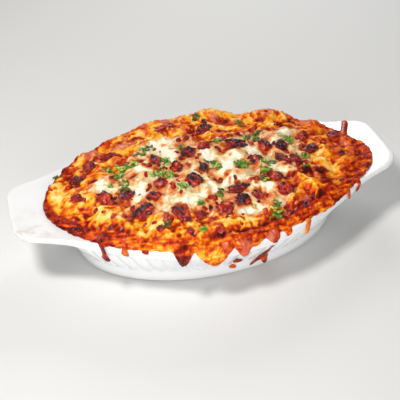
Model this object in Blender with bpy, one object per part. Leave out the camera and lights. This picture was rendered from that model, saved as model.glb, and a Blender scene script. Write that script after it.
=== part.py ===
"""Baked pasta in an eared, fluted oval gratin dish.

Run with: blender --background --python part.py

The dish is one glazed piece: a pointed oval bowl whose rim is drawn out into two ears, a wall of
upright flutes under a plain band, and a low foot. The baked pasta fills it, stands above the rim
and has run over the lip at the front and at the right ear. A pool of melted cheese lies on the
middle, and browned pieces of meat lie on both. Sizes are in millimetres until they reach a mesh;
the origin is on the table under the middle of the dish, +X along the ears and +Z up.
"""

import math

import bmesh
import bpy
import numpy as np
from mathutils import Vector, noise
from mathutils.bvhtree import BVHTree

MM = 0.001

# The dish.
EAR_TIP = 150.5  # half the length over both ears
EAR_END_HALF_WIDTH = 31.5
EAR_END_BULGE = 1.0
EAR_CORNER = 12.5
EAR_LIFT = 3.0
RIM_HALF_WIDTH = 85.0
RIM_OVAL_HALF_LENGTH = 112.0  # of the ellipse that the middle of the rim follows
RIM_OVAL_END = 60.0  # where the rim leaves that ellipse for the ear
EAR_SLOPE = -0.08  # of the ear's side where it meets its end
RIM_HEIGHT = 46.0
LIP_CHAMFER = 1.5
BAND_HEIGHT = 8.0
BAND_STEP = 1.0  # how far the flutes' crests stand back from the band
EAR_THICKNESS = 4.5
EAR_START = 12.0  # the rim is an ear where it stands out from the wall by more than this
CAVITY_HALF_LENGTH = 122.5
CAVITY_HALF_WIDTH = 78.5
CAVITY_POWER = 1.68  # 2 would be an ellipse, 1 a lozenge
WALL = 5.0
FLOOR = 7.0
FOOT_HEIGHT = 10.0
FOOT_HALF_LENGTH = 105.0
FOOT_HALF_WIDTH = 64.0
FOOT_RECESS = 1.5
FOOT_RING = 7.0
FLUTES = 56
FLUTE_DEPTH = 1.8
COLUMNS = 2 * FLUTES  # one column of points on each crest and in each groove

# The food.
GAP = 0.4  # between pieces that touch
HEAP_CENTRE = (-5.0, -9.0)
EDGE_RISE = 3.0  # of the food's edge above the rim
CROWN_RISE = 11.0  # of its middle above that edge
CROWN_SIZE = (127.0, 82.0)
CROWN_POWER = 1.8
LUMP_RISE = 2.2
LUMP_SIZE = 15.0
LIP_COVER = 4.6  # how much of the lip the crust covers where nothing has run over
LEAST_COVER = 1.6
RUN_THICKNESS = 3.0
END_THICKNESS = 1.6
CHEESE_SHARE = 0.64  # of the way from the middle to the bowl's edge
CHEESE_THICKNESS = 2.6
CHEESE_EDGE = 0.8

# Large lumps of pasta under the crust: x, y, rise and radius.
LUMPS = (
    (26, 70, 6.8, 26),
    (70, 57, 9.0, 24),
    (-24, 68, 3.0, 20),
    (104, 34, 3.5, 16),
    (71, -45, 4.5, 16),
    (112, -24, 2.5, 15),
    (-100, -6, 2.0, 14),
    (-84, 42, 3.5, 15),
    (-14, -74, 2.0, 20),
    (30, -76, 2.5, 18),
)

# Where the food has run out over the lip: bearing from the middle in degrees, half width in
# degrees, and length beyond the crust's usual edge (less than it where negative).
RUNS = (
    (-18, 30.0, 5.5),
    (-10, 8.0, 6.0),
    (170, 11.0, -4.0),
    (210, 26.0, 2.6),
    (260, 40.0, 1.5),
    (243, 2.8, 14.5),
    (255.4, 6.0, 13.5),
    (271.5, 2.8, 9.4),
)

# Browned pieces of meat: x, y, length, width, height and turn in degrees.
MEAT = (
    (-16, -24, 15, 13, 8, 20),
    (-5, -13, 9, 8, 7, 60),
    (28, 11, 19, 10, 7, -25),
    (36, -12, 13, 12, 7, 10),
    (-9, 14, 13, 11, 6, 40),
    (3, 13, 11, 9, 6, -10),
    (13, 44, 13, 12, 6, 0),
    (50, 4, 10, 12, 6, 30),
    (63, 2, 10, 12, 7, 0),
    (57, -16, 10, 18, 7, 10),
    (67, -17, 9, 13, 6, 15),
    (85, -4, 16, 10, 7, 15),
    (85, 13, 12, 8, 5, 0),
    (112, 12, 12, 9, 5, 10),
    (44, -33, 15, 8, 6, -35),
    (47, -48, 14, 13, 6, 0),
    (13, -38, 19, 9, 6, 12),
    (12, -51, 13, 10, 7, -15),
    (-2, -54, 14, 13, 5, 30),
    (25, -48, 8, 10, 5, 10),
    (-34, -51, 10, 18, 7, 25),
    (-21, -55, 11, 8, 5, 20),
    (-40, -17, 12, 9, 6, 0),
    (-24, -4, 9, 10, 6, 30),
    (-36, 12, 9, 12, 6, 10),
    (-82, -18, 12, 12, 6, 30),
    (-66, -20, 13, 9, 6, 15),
    (-58, -40, 19, 12, 7, 25),
    (-48, -29, 12, 10, 6, 40),
    (-98, 13, 12, 9, 6, 15),
    (-85, 27, 10, 13, 5, 10),
    (-68, 36, 14, 11, 5, 0),
    (-17, 57, 17, 8, 5, 15),
)


# --- outlines -------------------------------------------------------------------------------


def rim_half_width(x):
    """Half the rim's width at x: an ellipse in the middle, then one curve out to the ear's end."""
    x = abs(x)
    if x <= RIM_OVAL_END:
        return RIM_HALF_WIDTH * math.sqrt(1 - (x / RIM_OVAL_HALF_LENGTH) ** 2)
    share = RIM_OVAL_END / RIM_OVAL_HALF_LENGTH
    start = RIM_HALF_WIDTH * math.sqrt(1 - share**2)
    start_slope = -RIM_HALF_WIDTH / RIM_OVAL_HALF_LENGTH * share / math.sqrt(1 - share**2)
    run = EAR_TIP - RIM_OVAL_END
    t = (x - RIM_OVAL_END) / run
    return (
        start * (2 * t**3 - 3 * t**2 + 1)
        + start_slope * run * (t**3 - 2 * t**2 + t)
        + EAR_END_HALF_WIDTH * (3 * t**2 - 2 * t**3)
        + EAR_SLOPE * run * (t**3 - t**2)
    )


def in_rim(x, y):
    """True inside the rim's outline, whose ears have a slightly bowed end and round corners."""
    along = abs(x) / (EAR_TIP - EAR_END_BULGE * (y / EAR_END_HALF_WIDTH) ** 2)
    if along >= 1:
        return False
    across = abs(y) / rim_half_width(x)
    past_end = max(0.0, 1 - (1 - along) * EAR_TIP / EAR_CORNER)
    past_side = max(0.0, 1 - (1 - across) * EAR_END_HALF_WIDTH / EAR_CORNER)
    return across < 1 and (abs(x) < RIM_OVAL_END or past_end**2 + past_side**2 < 1)


def cavity_radius(bearing):
    """The distance from the middle to the bowl's edge, an oval drawn out towards its ends."""
    along = abs(math.cos(bearing)) / CAVITY_HALF_LENGTH
    across = abs(math.sin(bearing)) / CAVITY_HALF_WIDTH
    return (along**CAVITY_POWER + across**CAVITY_POWER) ** (-1 / CAVITY_POWER)


def ellipse_radius(half_length, half_width, bearing):
    return 1 / math.hypot(math.cos(bearing) / half_length, math.sin(bearing) / half_width)


def reach(inside, bearing):
    """The distance from the middle to an outline, by halving."""
    low, high = 0.0, EAR_TIP * 1.2
    c, s = math.cos(bearing), math.sin(bearing)
    for _ in range(40):
        middle = (low + high) / 2
        if inside(middle * c, middle * s):
            low = middle
        else:
            high = middle
    return low


def even_bearings(count):
    """Bearings whose points are evenly spaced along the fluted wall, half way down it."""
    fine = np.linspace(0, 2 * math.pi, 1441)
    half_way = [(cavity_radius(b) + ellipse_radius(FOOT_HALF_LENGTH, FOOT_HALF_WIDTH, b)) / 2 for b in fine]
    points = np.array([(r * math.cos(b), r * math.sin(b)) for r, b in zip(half_way, fine)])
    steps = np.hypot(*np.diff(points, axis=0).T)
    along = np.concatenate([[0], np.cumsum(steps)])
    return list(np.interp(np.arange(count) * along[-1] / count, along, fine))


BEARINGS = even_bearings(COLUMNS)
RIM = [reach(in_rim, b) for b in BEARINGS]
CAVITY = [cavity_radius(b) for b in BEARINGS]
FOOT = [ellipse_radius(FOOT_HALF_LENGTH, FOOT_HALF_WIDTH, b) for b in BEARINGS]


def ear_rise(radius, bearing):
    """How far the ears lift above the rim's level, rising smoothly from the bowl's end."""
    x = abs(radius * math.cos(bearing))
    share = max(0.0, (x - CAVITY_HALF_LENGTH * 0.85) / (EAR_TIP - CAVITY_HALF_LENGTH * 0.85))
    return EAR_LIFT * share**2


def wall_top(column):
    """The wall's radius where the flutes start: just behind the band, or under the ear."""
    return min(RIM[column] - BAND_STEP, CAVITY[column] + WALL)


# --- mesh helpers ---------------------------------------------------------------------------


def new_collection(name):
    collection = bpy.data.collections.new(name)
    bpy.context.scene.collection.children.link(collection)
    return collection


def finish(name, bm, collection, material, smooth_angle=40):
    """Makes the object from a bmesh in millimetres, with its faces pointing out."""
    bmesh.ops.recalc_face_normals(bm, faces=bm.faces[:])
    bmesh.ops.scale(bm, vec=(MM, MM, MM), verts=bm.verts[:])
    mesh = bpy.data.meshes.new(name)
    bm.to_mesh(mesh)
    bm.free()
    mesh.shade_smooth()
    mesh.set_sharp_from_angle(angle=math.radians(smooth_angle))
    mesh.materials.append(material)
    obj = bpy.data.objects.new(name, mesh)
    collection.objects.link(obj)
    return obj


def add_ring(bm, points):
    return [bm.verts.new(p) for p in points]


def bridge(bm, inner, outer, shortest=False):
    """Triangles between two closed rings, the outer of as many points or of twice as many.

    Each gap between equal rings is cut the same way round the ring, so that two bodies with the
    same rings stay parallel, or along the shorter diagonal where asked.
    """
    n, times = len(inner), len(outer) // len(inner)
    for i in range(n):
        j = (i + 1) % n
        if times == 2:
            a, b, c = outer[2 * i], outer[2 * i + 1], outer[2 * i + 2 - 2 * n]
            corners = ((inner[i], a, b), (inner[i], b, inner[j]), (inner[j], b, c))
        else:
            a, b, c, d = inner[i], outer[i], outer[j], inner[j]
            if shortest and (b.co - d.co).length < (a.co - c.co).length:
                a, b, c, d = b, c, d, a
            corners = ((a, b, c), (a, c, d))
        for corner in corners:
            bm.faces.new(corner)


def fan(bm, ring, centre):
    point = bm.verts.new(centre)
    for i, vertex in enumerate(ring):
        bm.faces.new((vertex, ring[(i + 1) % len(ring)], point))


def polar(radius, bearing, z):
    return (radius * math.cos(bearing), radius * math.sin(bearing), z)


# --- the dish -------------------------------------------------------------------------------


def cavity_profile(column):
    """The bowl's inside from the edge of its floor up to the lip: radius and height."""
    top, foot = CAVITY[column], FOOT[column]
    floor = foot - WALL - 4.0
    lower = floor + 0.12 * (top - floor) + 3.0
    return (
        (floor, FLOOR),
        (lower, FLOOR + 4.0),
        (top - 1.5, RIM_HEIGHT - 2.5),
        (top, RIM_HEIGHT),
    )


def outside_profile(column):
    """The dish's outside from the lip down to the foot's ring: radius and height."""
    rim, wall, foot = RIM[column], wall_top(column), FOOT[column]
    rise = ear_rise(rim, BEARINGS[column])
    groove = FLUTE_DEPTH * (column % 2)
    under = min(BAND_HEIGHT, EAR_THICKNESS) if rim - wall > EAR_START else BAND_HEIGHT
    wall_foot = foot + 1.0
    return (
        (rim - LIP_CHAMFER, RIM_HEIGHT + rise),
        (rim, RIM_HEIGHT + rise - LIP_CHAMFER),
        (rim - 0.3, RIM_HEIGHT + rise - under),
        (wall, RIM_HEIGHT - under - 0.8),
        (wall - groove - 0.15 * (wall - wall_foot), RIM_HEIGHT - BAND_HEIGHT - 5.0),
        (wall_foot - groove * 0.7, FOOT_HEIGHT + 1.5),
        (foot, FOOT_HEIGHT - 1.0),
        (foot - 1.0, 1.0),
        (foot - 2.0, 0.0),
        (foot - FOOT_RING, 0.0),
        (foot - FOOT_RING - 1.5, FOOT_RECESS),
    )


def build_dish(collection, glaze):
    """The rings of the inside, then those of the outside, joined and closed by two flat floors."""
    bm = bmesh.new()
    profiles = [cavity_profile(c) + outside_profile(c) for c in range(COLUMNS)]
    rings = [
        add_ring(bm, [polar(p[k][0], b, p[k][1]) for p, b in zip(profiles, BEARINGS)])
        for k in range(len(profiles[0]))
    ]
    for inner, outer in zip(rings, rings[1:]):
        bridge(bm, inner, outer)
    bm.faces.new(rings[0])
    bm.faces.new(rings[-1])
    return finish("gratin_dish", bm, collection, glaze)


# --- the food -------------------------------------------------------------------------------


def bump(distance, radius):
    """A smooth bump: 1 in the middle, 0 from radius outwards."""
    share = min(1.0, distance / radius)
    return (1 - share**2) ** 2


def heap_height(x, y):
    """The food's height above the rim: a low crown, large lumps of pasta and smaller unevenness."""
    u = (abs(x) / CROWN_SIZE[0]) ** CROWN_POWER + (abs(y) / CROWN_SIZE[1]) ** CROWN_POWER
    rise = EDGE_RISE + CROWN_RISE * max(0.0, 1 - u)
    for lump_x, lump_y, lump_rise, radius in LUMPS:
        rise += lump_rise * bump(math.hypot(x - lump_x, y - lump_y), radius)
    uneven = noise.noise(Vector((x / LUMP_SIZE, y / LUMP_SIZE, 3.7)))
    return max(1.8, rise + LUMP_RISE * 1.6 * uneven)


def lip_breaks(column):
    """Distances from the bowl's edge to where the lip's chamfer starts and ends."""
    top_end = RIM[column] - CAVITY[column] - LIP_CHAMFER
    return top_end, top_end + LIP_CHAMFER * math.sqrt(2)


def spills():
    """How far the food reaches from the bowl's edge at each column: over part of the lip, and
    more at each run. It passes the lip's chamfer one break at a time from column to column."""
    reached = []
    for bearing in BEARINGS:
        degrees = math.degrees(bearing)
        far = LIP_COVER
        for centre, half_width, length in RUNS:
            away = abs((degrees - centre + 180) % 360 - 180)
            far += length * bump(away, half_width * 1.8)
        reached.append(max(LEAST_COVER, far))
    for step in (1, 0):
        breaks = [lip_breaks(c)[step] for c in range(COLUMNS)]
        past = [r > b + 0.3 for r, b in zip(reached, breaks)]
        for c in range(COLUMNS):
            beside = past[c - 1] or past[(c + 1) % COLUMNS]
            if not past[c] and beside:
                reached[c] = max(reached[c], breaks[c])
            if past[c] and not step:
                reached[c] = max(reached[c], lip_breaks(c)[1])
    return reached


SPILLS = spills()


def lip_path(column, s):
    """The point and the outward direction at s along the lip's top, over its edge and down."""
    top_end, over = lip_breaks(column)
    rise = ear_rise(RIM[column], BEARINGS[column]) * min(1.0, s / top_end)
    if s <= top_end:
        return CAVITY[column] + s, RIM_HEIGHT + rise, (0.0, 1.0)
    if s <= over:
        down = (s - top_end) * math.sqrt(0.5)
        slant = math.sqrt(0.5)
        return RIM[column] - LIP_CHAMFER + down, RIM_HEIGHT + rise - down, (slant, slant)
    return RIM[column] + 0.3, RIM_HEIGHT + rise - LIP_CHAMFER - (s - over), (1.0, 0.0)


def lip_stations(column):
    """The four distances along the lip's path at which the food has a ring of points."""
    reached = SPILLS[column]
    top_end, over = lip_breaks(column)
    if reached > over + 0.3:
        return top_end - 0.5, top_end, over, reached
    if reached > top_end + 0.3:
        return top_end * 0.5, top_end - 0.5, top_end, over
    if reached > top_end - 0.3:
        return reached * 0.4, reached * 0.7, reached - 0.5, reached
    return reached * 0.25, reached * 0.5, reached * 0.8, reached


def lip_ring(k, thickness):
    """One ring of points along the lip, the given thickness out from the dish."""
    points = []
    for column, bearing in enumerate(BEARINGS):
        radius, z, (out, up) = lip_path(column, lip_stations(column)[k])
        t = thickness[column] if isinstance(thickness, list) else thickness
        points.append(polar(radius + out * t, bearing, z + up * t))
    return points


def bowl_ring(k, lift):
    """One ring of the bowl's inside, a gap in from it."""
    points = [cavity_profile(c)[k] for c in range(COLUMNS)]
    return [polar(r - GAP, b, z + lift) for (r, z), b in zip(points, BEARINGS)]


def edge_point(column):
    """The food's top straight above the bowl's edge."""
    x, y, _ = polar(CAVITY[column], BEARINGS[column], 0)
    return x, y


def cheese_share(bearing):
    """The melted cheese's uneven outline, as a share of the way to the bowl's edge."""
    lobes = 0.035 * math.sin(3 * bearing + 0.8) + 0.03 * math.sin(7 * bearing + 2.1)
    return CHEESE_SHARE + lobes + 0.02 * math.sin(12 * bearing)


def heap_point(share, column, extra=0.0):
    """A point on the food's top, this share of the way from the heap's middle to the edge."""
    edge_x, edge_y = edge_point(column)
    x = HEAP_CENTRE[0] + share * (edge_x - HEAP_CENTRE[0])
    y = HEAP_CENTRE[1] + share * (edge_y - HEAP_CENTRE[1])
    return x, y, RIM_HEIGHT + heap_height(x, y) + extra


INNER_SHARES = (0.2, 0.4, 0.6, 0.8, 1.0)  # of the cheese's outline


def inner_rings(bm, extras):
    """Rings under the cheese's outline, with half as many columns as the rest."""
    rings = []
    for share, extra in zip(INNER_SHARES, extras):
        columns = range(0, COLUMNS, 2)
        rings.append(
            add_ring(bm, [heap_point(share * cheese_share(BEARINGS[c]), c, extra) for c in columns])
        )
    return rings


def heap_middle(extra=0.0):
    x, y = HEAP_CENTRE
    return x, y, RIM_HEIGHT + heap_height(x, y) + extra


def build_pasta(collection, crust):
    """The whole filling: its top, the part that lies over the lip, and the dish's inside below."""
    bm = bmesh.new()
    rings = inner_rings(bm, [0.0] * len(INNER_SHARES))
    fan(bm, rings[0], heap_middle())
    for step in (0.33, 0.67, 1.0):
        shares = [1 - (1 - cheese_share(b)) * (1 - step) for b in BEARINGS]
        rings.append(add_ring(bm, [heap_point(s, c) for c, s in enumerate(shares)]))
    edge_rise = [heap_height(*edge_point(c)) for c in range(COLUMNS)]
    for k, keep in enumerate((0.7, 0.35, 0.1, 0.0)):
        ends = (RUN_THICKNESS, RUN_THICKNESS, RUN_THICKNESS, END_THICKNESS)
        thick = [GAP + max(1.2, keep * r + (1 - keep) * ends[k]) for r in edge_rise]
        rings.append(add_ring(bm, lip_ring(k, thick)))
    under = [add_ring(bm, lip_ring(k, GAP)) for k in (3, 2, 1, 0)]
    bowl = [add_ring(bm, bowl_ring(k, lift)) for k, lift in enumerate((GAP, GAP / 2, 0.0, GAP))]
    for inner, outer in zip(rings, rings[1:]):
        bridge(bm, inner, outer, shortest=len(outer) == len(inner) == COLUMNS)
    for inner, outer in zip([rings[-1]] + under, under + [bowl[-1]]):
        bridge(bm, inner, outer, shortest=True)
    for inner, outer in zip(bowl, bowl[1:]):
        bridge(bm, inner, outer)
    bm.faces.new(bowl[0])
    return finish("pasta_bake", bm, collection, crust)


def build_cheese(collection, cheese):
    """The pool of melted cheese: a thin cover over the middle, following what it lies on."""
    bm = bmesh.new()
    thick = [CHEESE_THICKNESS + GAP] * (len(INNER_SHARES) - 1) + [CHEESE_EDGE + GAP]
    top = inner_rings(bm, thick)
    fan(bm, top[0], heap_middle(CHEESE_THICKNESS + GAP))
    under = inner_rings(bm, [GAP] * len(INNER_SHARES))
    fan(bm, under[0], heap_middle(GAP))
    for rings in (top, under):
        for inner, outer in zip(rings, rings[1:]):
            bridge(bm, inner, outer)
    bridge(bm, top[-1], under[-1])
    return finish("melted_cheese", bm, collection, cheese)


def surface_tree(*objects):
    """What the toppings lie on, for finding its height in metres."""
    points, faces = [], []
    for obj in objects:
        start = len(points)
        points += [v.co.copy() for v in obj.data.vertices]
        faces += [[start + i for i in p.vertices] for p in obj.data.polygons]
    return BVHTree.FromPolygons(points, faces)


def height_near(tree, x, y, around=2.5):
    """The greatest height in millimetres of what lies below a point and four beside it."""
    heights = []
    for dx, dy in ((0, 0), (around, 0), (-around, 0), (0, around), (0, -around)):
        start = Vector(((x + dx) * MM, (y + dy) * MM, 1.0))
        heights.append(tree.ray_cast(start, Vector((0, 0, -1)))[0].z / MM)
    return max(heights)


def build_meat(number, spec, tree, collection, meat):
    """One browned piece: an uneven lump whose underside follows what it lies on."""
    x, y, length, width, height, turn = spec
    bm = bmesh.new()
    bmesh.ops.create_uvsphere(bm, u_segments=7, v_segments=4, radius=0.5)
    turned = math.radians(turn)
    for vertex in bm.verts:
        rough = 1 + 0.3 * noise.noise(vertex.co * 2.5 + Vector((number * 1.7, 0, 0)))
        px, py = vertex.co.x * length * rough, vertex.co.y * width * rough
        above = max(0.0, vertex.co.z * rough + 0.3) * height
        vertex.co.x = x + px * math.cos(turned) - py * math.sin(turned)
        vertex.co.y = y + px * math.sin(turned) + py * math.cos(turned)
        vertex.co.z = height_near(tree, vertex.co.x, vertex.co.y) + GAP + above
    return finish(f"meat_piece_{number:02d}", bm, collection, meat, smooth_angle=60)


# --- materials and the scene ----------------------------------------------------------------


def material(name, colour, roughness, coat=0.0):
    made = bpy.data.materials.new(name)
    made.use_nodes = True
    shader = made.node_tree.nodes["Principled BSDF"]
    shader.inputs["Base Color"].default_value = (*colour, 1.0)
    shader.inputs["Roughness"].default_value = roughness
    shader.inputs["Metallic"].default_value = 0.0
    shader.inputs["Coat Weight"].default_value = coat
    made.diffuse_color = (*colour, 1.0)
    return made


def main():
    for obj in list(bpy.data.objects):
        bpy.data.objects.remove(obj)
    collection = new_collection("baked_pasta")
    glaze = material("white_glaze", (0.86, 0.86, 0.85), 0.18, 0.5)
    crust = material("baked_crust", (0.62, 0.17, 0.03), 0.35)
    cheese = material("melted_cheese", (0.90, 0.70, 0.42), 0.3)
    meat = material("browned_meat", (0.22, 0.03, 0.015), 0.35)
    build_dish(collection, glaze)
    pasta = build_pasta(collection, crust)
    pool = build_cheese(collection, cheese)
    bpy.context.view_layer.update()
    tree = surface_tree(pasta, pool)
    for number, spec in enumerate(MEAT, start=1):
        build_meat(number, spec, tree, collection, meat)


main()
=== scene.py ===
"""The looks of the baked pasta: glazed dish, crust, melted cheese, browned meat, herbs, drips.

Lengths are in millimetres until they reach a mesh. The dish's middle is at the origin, +X runs
along its ears, +Y away from the viewer and +Z up.
"""

import math

import bmesh
import bpy
import numpy as np
from mathutils import Matrix, Vector, noise


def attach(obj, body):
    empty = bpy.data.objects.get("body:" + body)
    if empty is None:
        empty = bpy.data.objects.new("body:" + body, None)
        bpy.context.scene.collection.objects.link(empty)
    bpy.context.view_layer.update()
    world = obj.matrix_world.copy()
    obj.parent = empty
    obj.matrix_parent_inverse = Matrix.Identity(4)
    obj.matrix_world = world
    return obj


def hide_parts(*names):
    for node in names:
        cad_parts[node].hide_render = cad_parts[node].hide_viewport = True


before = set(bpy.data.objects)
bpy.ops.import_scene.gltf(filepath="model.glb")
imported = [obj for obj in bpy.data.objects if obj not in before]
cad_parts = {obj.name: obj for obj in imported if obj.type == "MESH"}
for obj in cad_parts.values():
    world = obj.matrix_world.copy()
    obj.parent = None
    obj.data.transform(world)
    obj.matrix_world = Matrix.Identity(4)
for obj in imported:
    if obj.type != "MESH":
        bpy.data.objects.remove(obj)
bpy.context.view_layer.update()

MM = 0.001
TAU = 2 * math.pi

# The dish, as its solid is.
EAR_TIP = 150.5
EAR_END_HALF_WIDTH = 31.5
EAR_END_BULGE = 1.0
EAR_CORNER = 12.5
EAR_LIFT = 3.0
RIM_HALF_WIDTH = 85.0
RIM_OVAL_HALF_LENGTH = 112.0
RIM_OVAL_END = 60.0
EAR_SLOPE = -0.08
RIM_HEIGHT = 46.0
LIP_ROUND = 1.5
BAND_HEIGHT = 8.0
BAND_STEP = 1.0
WALL_THICKNESS = 5.0
EAR_THICKNESS = 4.5
CAVITY_HALF_LENGTH = 122.5
CAVITY_HALF_WIDTH = 78.5
CAVITY_POWER = 1.68
FOOT_HEIGHT = 10.0
FOOT_HALF_LENGTH = 105.0
FOOT_HALF_WIDTH = 64.0
WALL_TOP = RIM_HEIGHT - BAND_HEIGHT - 0.8
WALL_FOOT = FOOT_HEIGHT + 1.0
FOOT_RING = 7.0
FOOT_RECESS = 1.5
FLUTES = 56
GROOVE_DEPTH = 2.6
DISH_COLUMNS = FLUTES * 12

# The food, as its solid is.
HEAP_CENTRE = (-5.0, -9.0)
EDGE_RISE = 3.0
CROWN_RISE = 11.0
CROWN_SIZE = (127.0, 82.0)
CROWN_POWER = 1.8
LUMP_RISE = 2.2
LUMP_SIZE = 15.0
LEAST_RISE = 1.8
LIP_COVER = 4.6
# Lumps that stand above the heap: x, y, rise and radius.
LUMPS = (
    (26, 70, 6.8, 26), (70, 57, 9.0, 24), (-24, 68, 3.0, 20), (104, 34, 3.5, 16),
    (71, -45, 4.5, 16), (112, -24, 2.5, 15), (-100, -6, 2.0, 14), (-84, 42, 3.5, 15),
    (-14, -74, 2.0, 20), (30, -76, 2.5, 18),
)
# Runs over the lip: bearing and half width in degrees, and how much further each one reaches.
RUNS = (
    (-18, 30.0, 5.5), (-10, 8.0, 6.0), (170, 11.0, -4.0), (210, 26.0, 2.6),
    (260, 40.0, 1.5), (243, 3.0, 12.2), (256.6, 5.8, 13.2), (270.8, 2.8, 9.4),
    (277.5, 2.6, 2.6), (286.4, 2.3, 6.6), (294.4, 1.6, 4.6),
)


# --- the dish's outlines ---


def rim_half_width(x):
    """Half the rim's width at x: an ellipse in the middle, then one curve out to the ear's end."""
    x = np.abs(x)
    share = RIM_OVAL_END / RIM_OVAL_HALF_LENGTH
    start = RIM_HALF_WIDTH * math.sqrt(1 - share**2)
    start_slope = -RIM_HALF_WIDTH / RIM_OVAL_HALF_LENGTH * share / math.sqrt(1 - share**2)
    oval = RIM_HALF_WIDTH * np.sqrt(np.maximum(1 - (x / RIM_OVAL_HALF_LENGTH) ** 2, 0))
    run = EAR_TIP - RIM_OVAL_END
    t = (x - RIM_OVAL_END) / run
    ear = (
        start * (2 * t**3 - 3 * t**2 + 1)
        + start_slope * run * (t**3 - 2 * t**2 + t)
        + EAR_END_HALF_WIDTH * (3 * t**2 - 2 * t**3)
        + EAR_SLOPE * run * (t**3 - t**2)
    )
    return np.where(x <= RIM_OVAL_END, oval, ear)


def in_rim(x, y):
    """True inside the rim's outline, whose ears have a slightly bowed end and round corners."""
    along = np.abs(x) / (EAR_TIP - EAR_END_BULGE * (y / EAR_END_HALF_WIDTH) ** 2)
    across = np.abs(y) / np.maximum(rim_half_width(x), 1.0)
    past_end = np.maximum(0, 1 - (1 - along) * EAR_TIP / EAR_CORNER)
    past_side = np.maximum(0, 1 - (1 - across) * EAR_END_HALF_WIDTH / EAR_CORNER)
    round_corner = (np.abs(x) < RIM_OVAL_END) | (past_end**2 + past_side**2 < 1)
    return (along < 1) & (across < 1) & round_corner


def cavity_radius(bearings):
    """The distance from the middle to the bowl's edge, an oval drawn out towards its ends."""
    along = np.abs(np.cos(bearings)) / CAVITY_HALF_LENGTH
    across = np.abs(np.sin(bearings)) / CAVITY_HALF_WIDTH
    return (along**CAVITY_POWER + across**CAVITY_POWER) ** (-1 / CAVITY_POWER)


def reach(inside, bearings):
    """The distance from the middle to an outline at each bearing, by halving."""
    low, high = np.zeros_like(bearings), np.full_like(bearings, EAR_TIP * 1.2)
    for _ in range(36):
        middle = (low + high) / 2
        within = inside(middle * np.cos(bearings), middle * np.sin(bearings))
        low, high = np.where(within, middle, low), np.where(within, high, middle)
    return low


def foot_radius(bearings):
    return 1 / np.hypot(np.cos(bearings) / FOOT_HALF_LENGTH, np.sin(bearings) / FOOT_HALF_WIDTH)


def even_bearings(count):
    """Bearings whose points are evenly spaced along the fluted wall, half way down it."""
    fine = np.linspace(0, TAU, 1441)
    half_way = (cavity_radius(fine) + foot_radius(fine)) / 2
    steps = np.hypot(np.diff(half_way * np.cos(fine)), np.diff(half_way * np.sin(fine)))
    along = np.concatenate([[0], np.cumsum(steps)])
    return np.interp(np.arange(count) * along[-1] / count, along, fine)


def ear_rise(radius, bearings):
    """How far the ears lift above the rim's level, rising smoothly from the bowl's end."""
    start = CAVITY_HALF_LENGTH * 0.85
    past = np.maximum(0, np.abs(radius * np.cos(bearings)) - start)
    return EAR_LIFT * (past / (EAR_TIP - start)) ** 2


# --- mesh helpers ---


def polar(radius, bearings, z):
    """Points at radii, bearings and heights, one row each."""
    return np.stack([radius * np.cos(bearings), radius * np.sin(bearings), z + 0 * bearings], axis=-1)


def place(points, places):
    for point, where in zip(points, places):
        point.co = where


def grow(bm, edges, layer, ring):
    """Extrudes a closed loop once and puts each new point where ring(bearings) says."""
    made = bmesh.ops.extrude_edge_only(bm, edges=edges)["geom"]
    points = [g for g in made if isinstance(g, bmesh.types.BMVert)]
    place(points, ring(np.array([p[layer] for p in points])))
    new = set(points)
    return [g for g in made if isinstance(g, bmesh.types.BMEdge) and new.issuperset(g.verts)]


def loft(bm, bearings, rings):
    """One circle of points, extruded from ring to ring, each a function of the bearing."""
    layer = bm.verts.layers.float.new("bearing")
    loop = bmesh.ops.create_circle(bm, segments=len(bearings), radius=1.0)["verts"]
    for point, bearing in zip(loop, bearings):
        point[layer] = bearing
    place(loop, rings[0](bearings))
    edges = bm.edges[:]
    for ring in rings[1:]:
        edges = grow(bm, edges, layer, ring)


def fill_ends(bm):
    bmesh.ops.holes_fill(bm, edges=[e for e in bm.edges if e.is_boundary], sides=0)


def add_attribute(mesh, name, values):
    made = mesh.attributes.new(name, "FLOAT", "POINT")
    made.data.foreach_set("value", np.asarray(values, np.float32))


def piece(name, bm, material, smooth=None):
    """Makes an object from a bmesh in millimetres and lets it ride on the part's one body."""
    bmesh.ops.recalc_face_normals(bm, faces=bm.faces[:])
    bmesh.ops.scale(bm, vec=(MM, MM, MM), verts=bm.verts[:])
    mesh = bpy.data.meshes.new(name)
    bm.to_mesh(mesh)
    bm.free()
    mesh.shade_smooth()
    if smooth:
        mesh.set_sharp_from_angle(angle=math.radians(smooth))
    mesh.materials.append(material)
    obj = bpy.data.objects.new(name, mesh)
    bpy.context.scene.collection.objects.link(obj)
    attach(obj, "root")
    return obj


# --- maps over the food ---

MAP_STEP = 0.5
NOISE_CELLS = 128
SCATTER_HALF_LENGTH = 132
SCATTER_HALF_WIDTH = 86
MAP_X = np.arange(-158, 158.1, MAP_STEP)
MAP_Y = np.arange(-98, 98.1, MAP_STEP)
X, Y = np.meshgrid(MAP_X, MAP_Y, indexing="ij")


def smoothstep(low, high, value):
    t = np.clip((value - low) / (high - low), 0, 1)
    return t * t * (3 - 2 * t)


def rough(x, y, size, seed):
    """Smooth gradient noise, about -1 to 1, with features of the given size."""
    angles = np.random.default_rng(seed).uniform(0, TAU, (NOISE_CELLS, NOISE_CELLS))
    gx, gy = np.cos(angles), np.sin(angles)
    u, v = x / size + 40.3, y / size + 40.7
    iu, iv = np.floor(u).astype(int), np.floor(v).astype(int)
    fu, fv = u - iu, v - iv
    total = 0
    for du in (0, 1):
        for dv in (0, 1):
            i, j = (iu + du) % NOISE_CELLS, (iv + dv) % NOISE_CELLS
            weight = smoothstep(0, 1, 1 - np.abs(fu - du)) * smoothstep(0, 1, 1 - np.abs(fv - dv))
            total = total + weight * (gx[i, j] * (fu - du) + gy[i, j] * (fv - dv))
    return total * 1.5


def octaves(x, y, size, seed, count=3):
    """Several sizes of noise, each half as large and half as strong as the one before."""
    return sum(rough(x, y, size / 2**k, seed + k) / 2**k for k in range(count))


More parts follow.
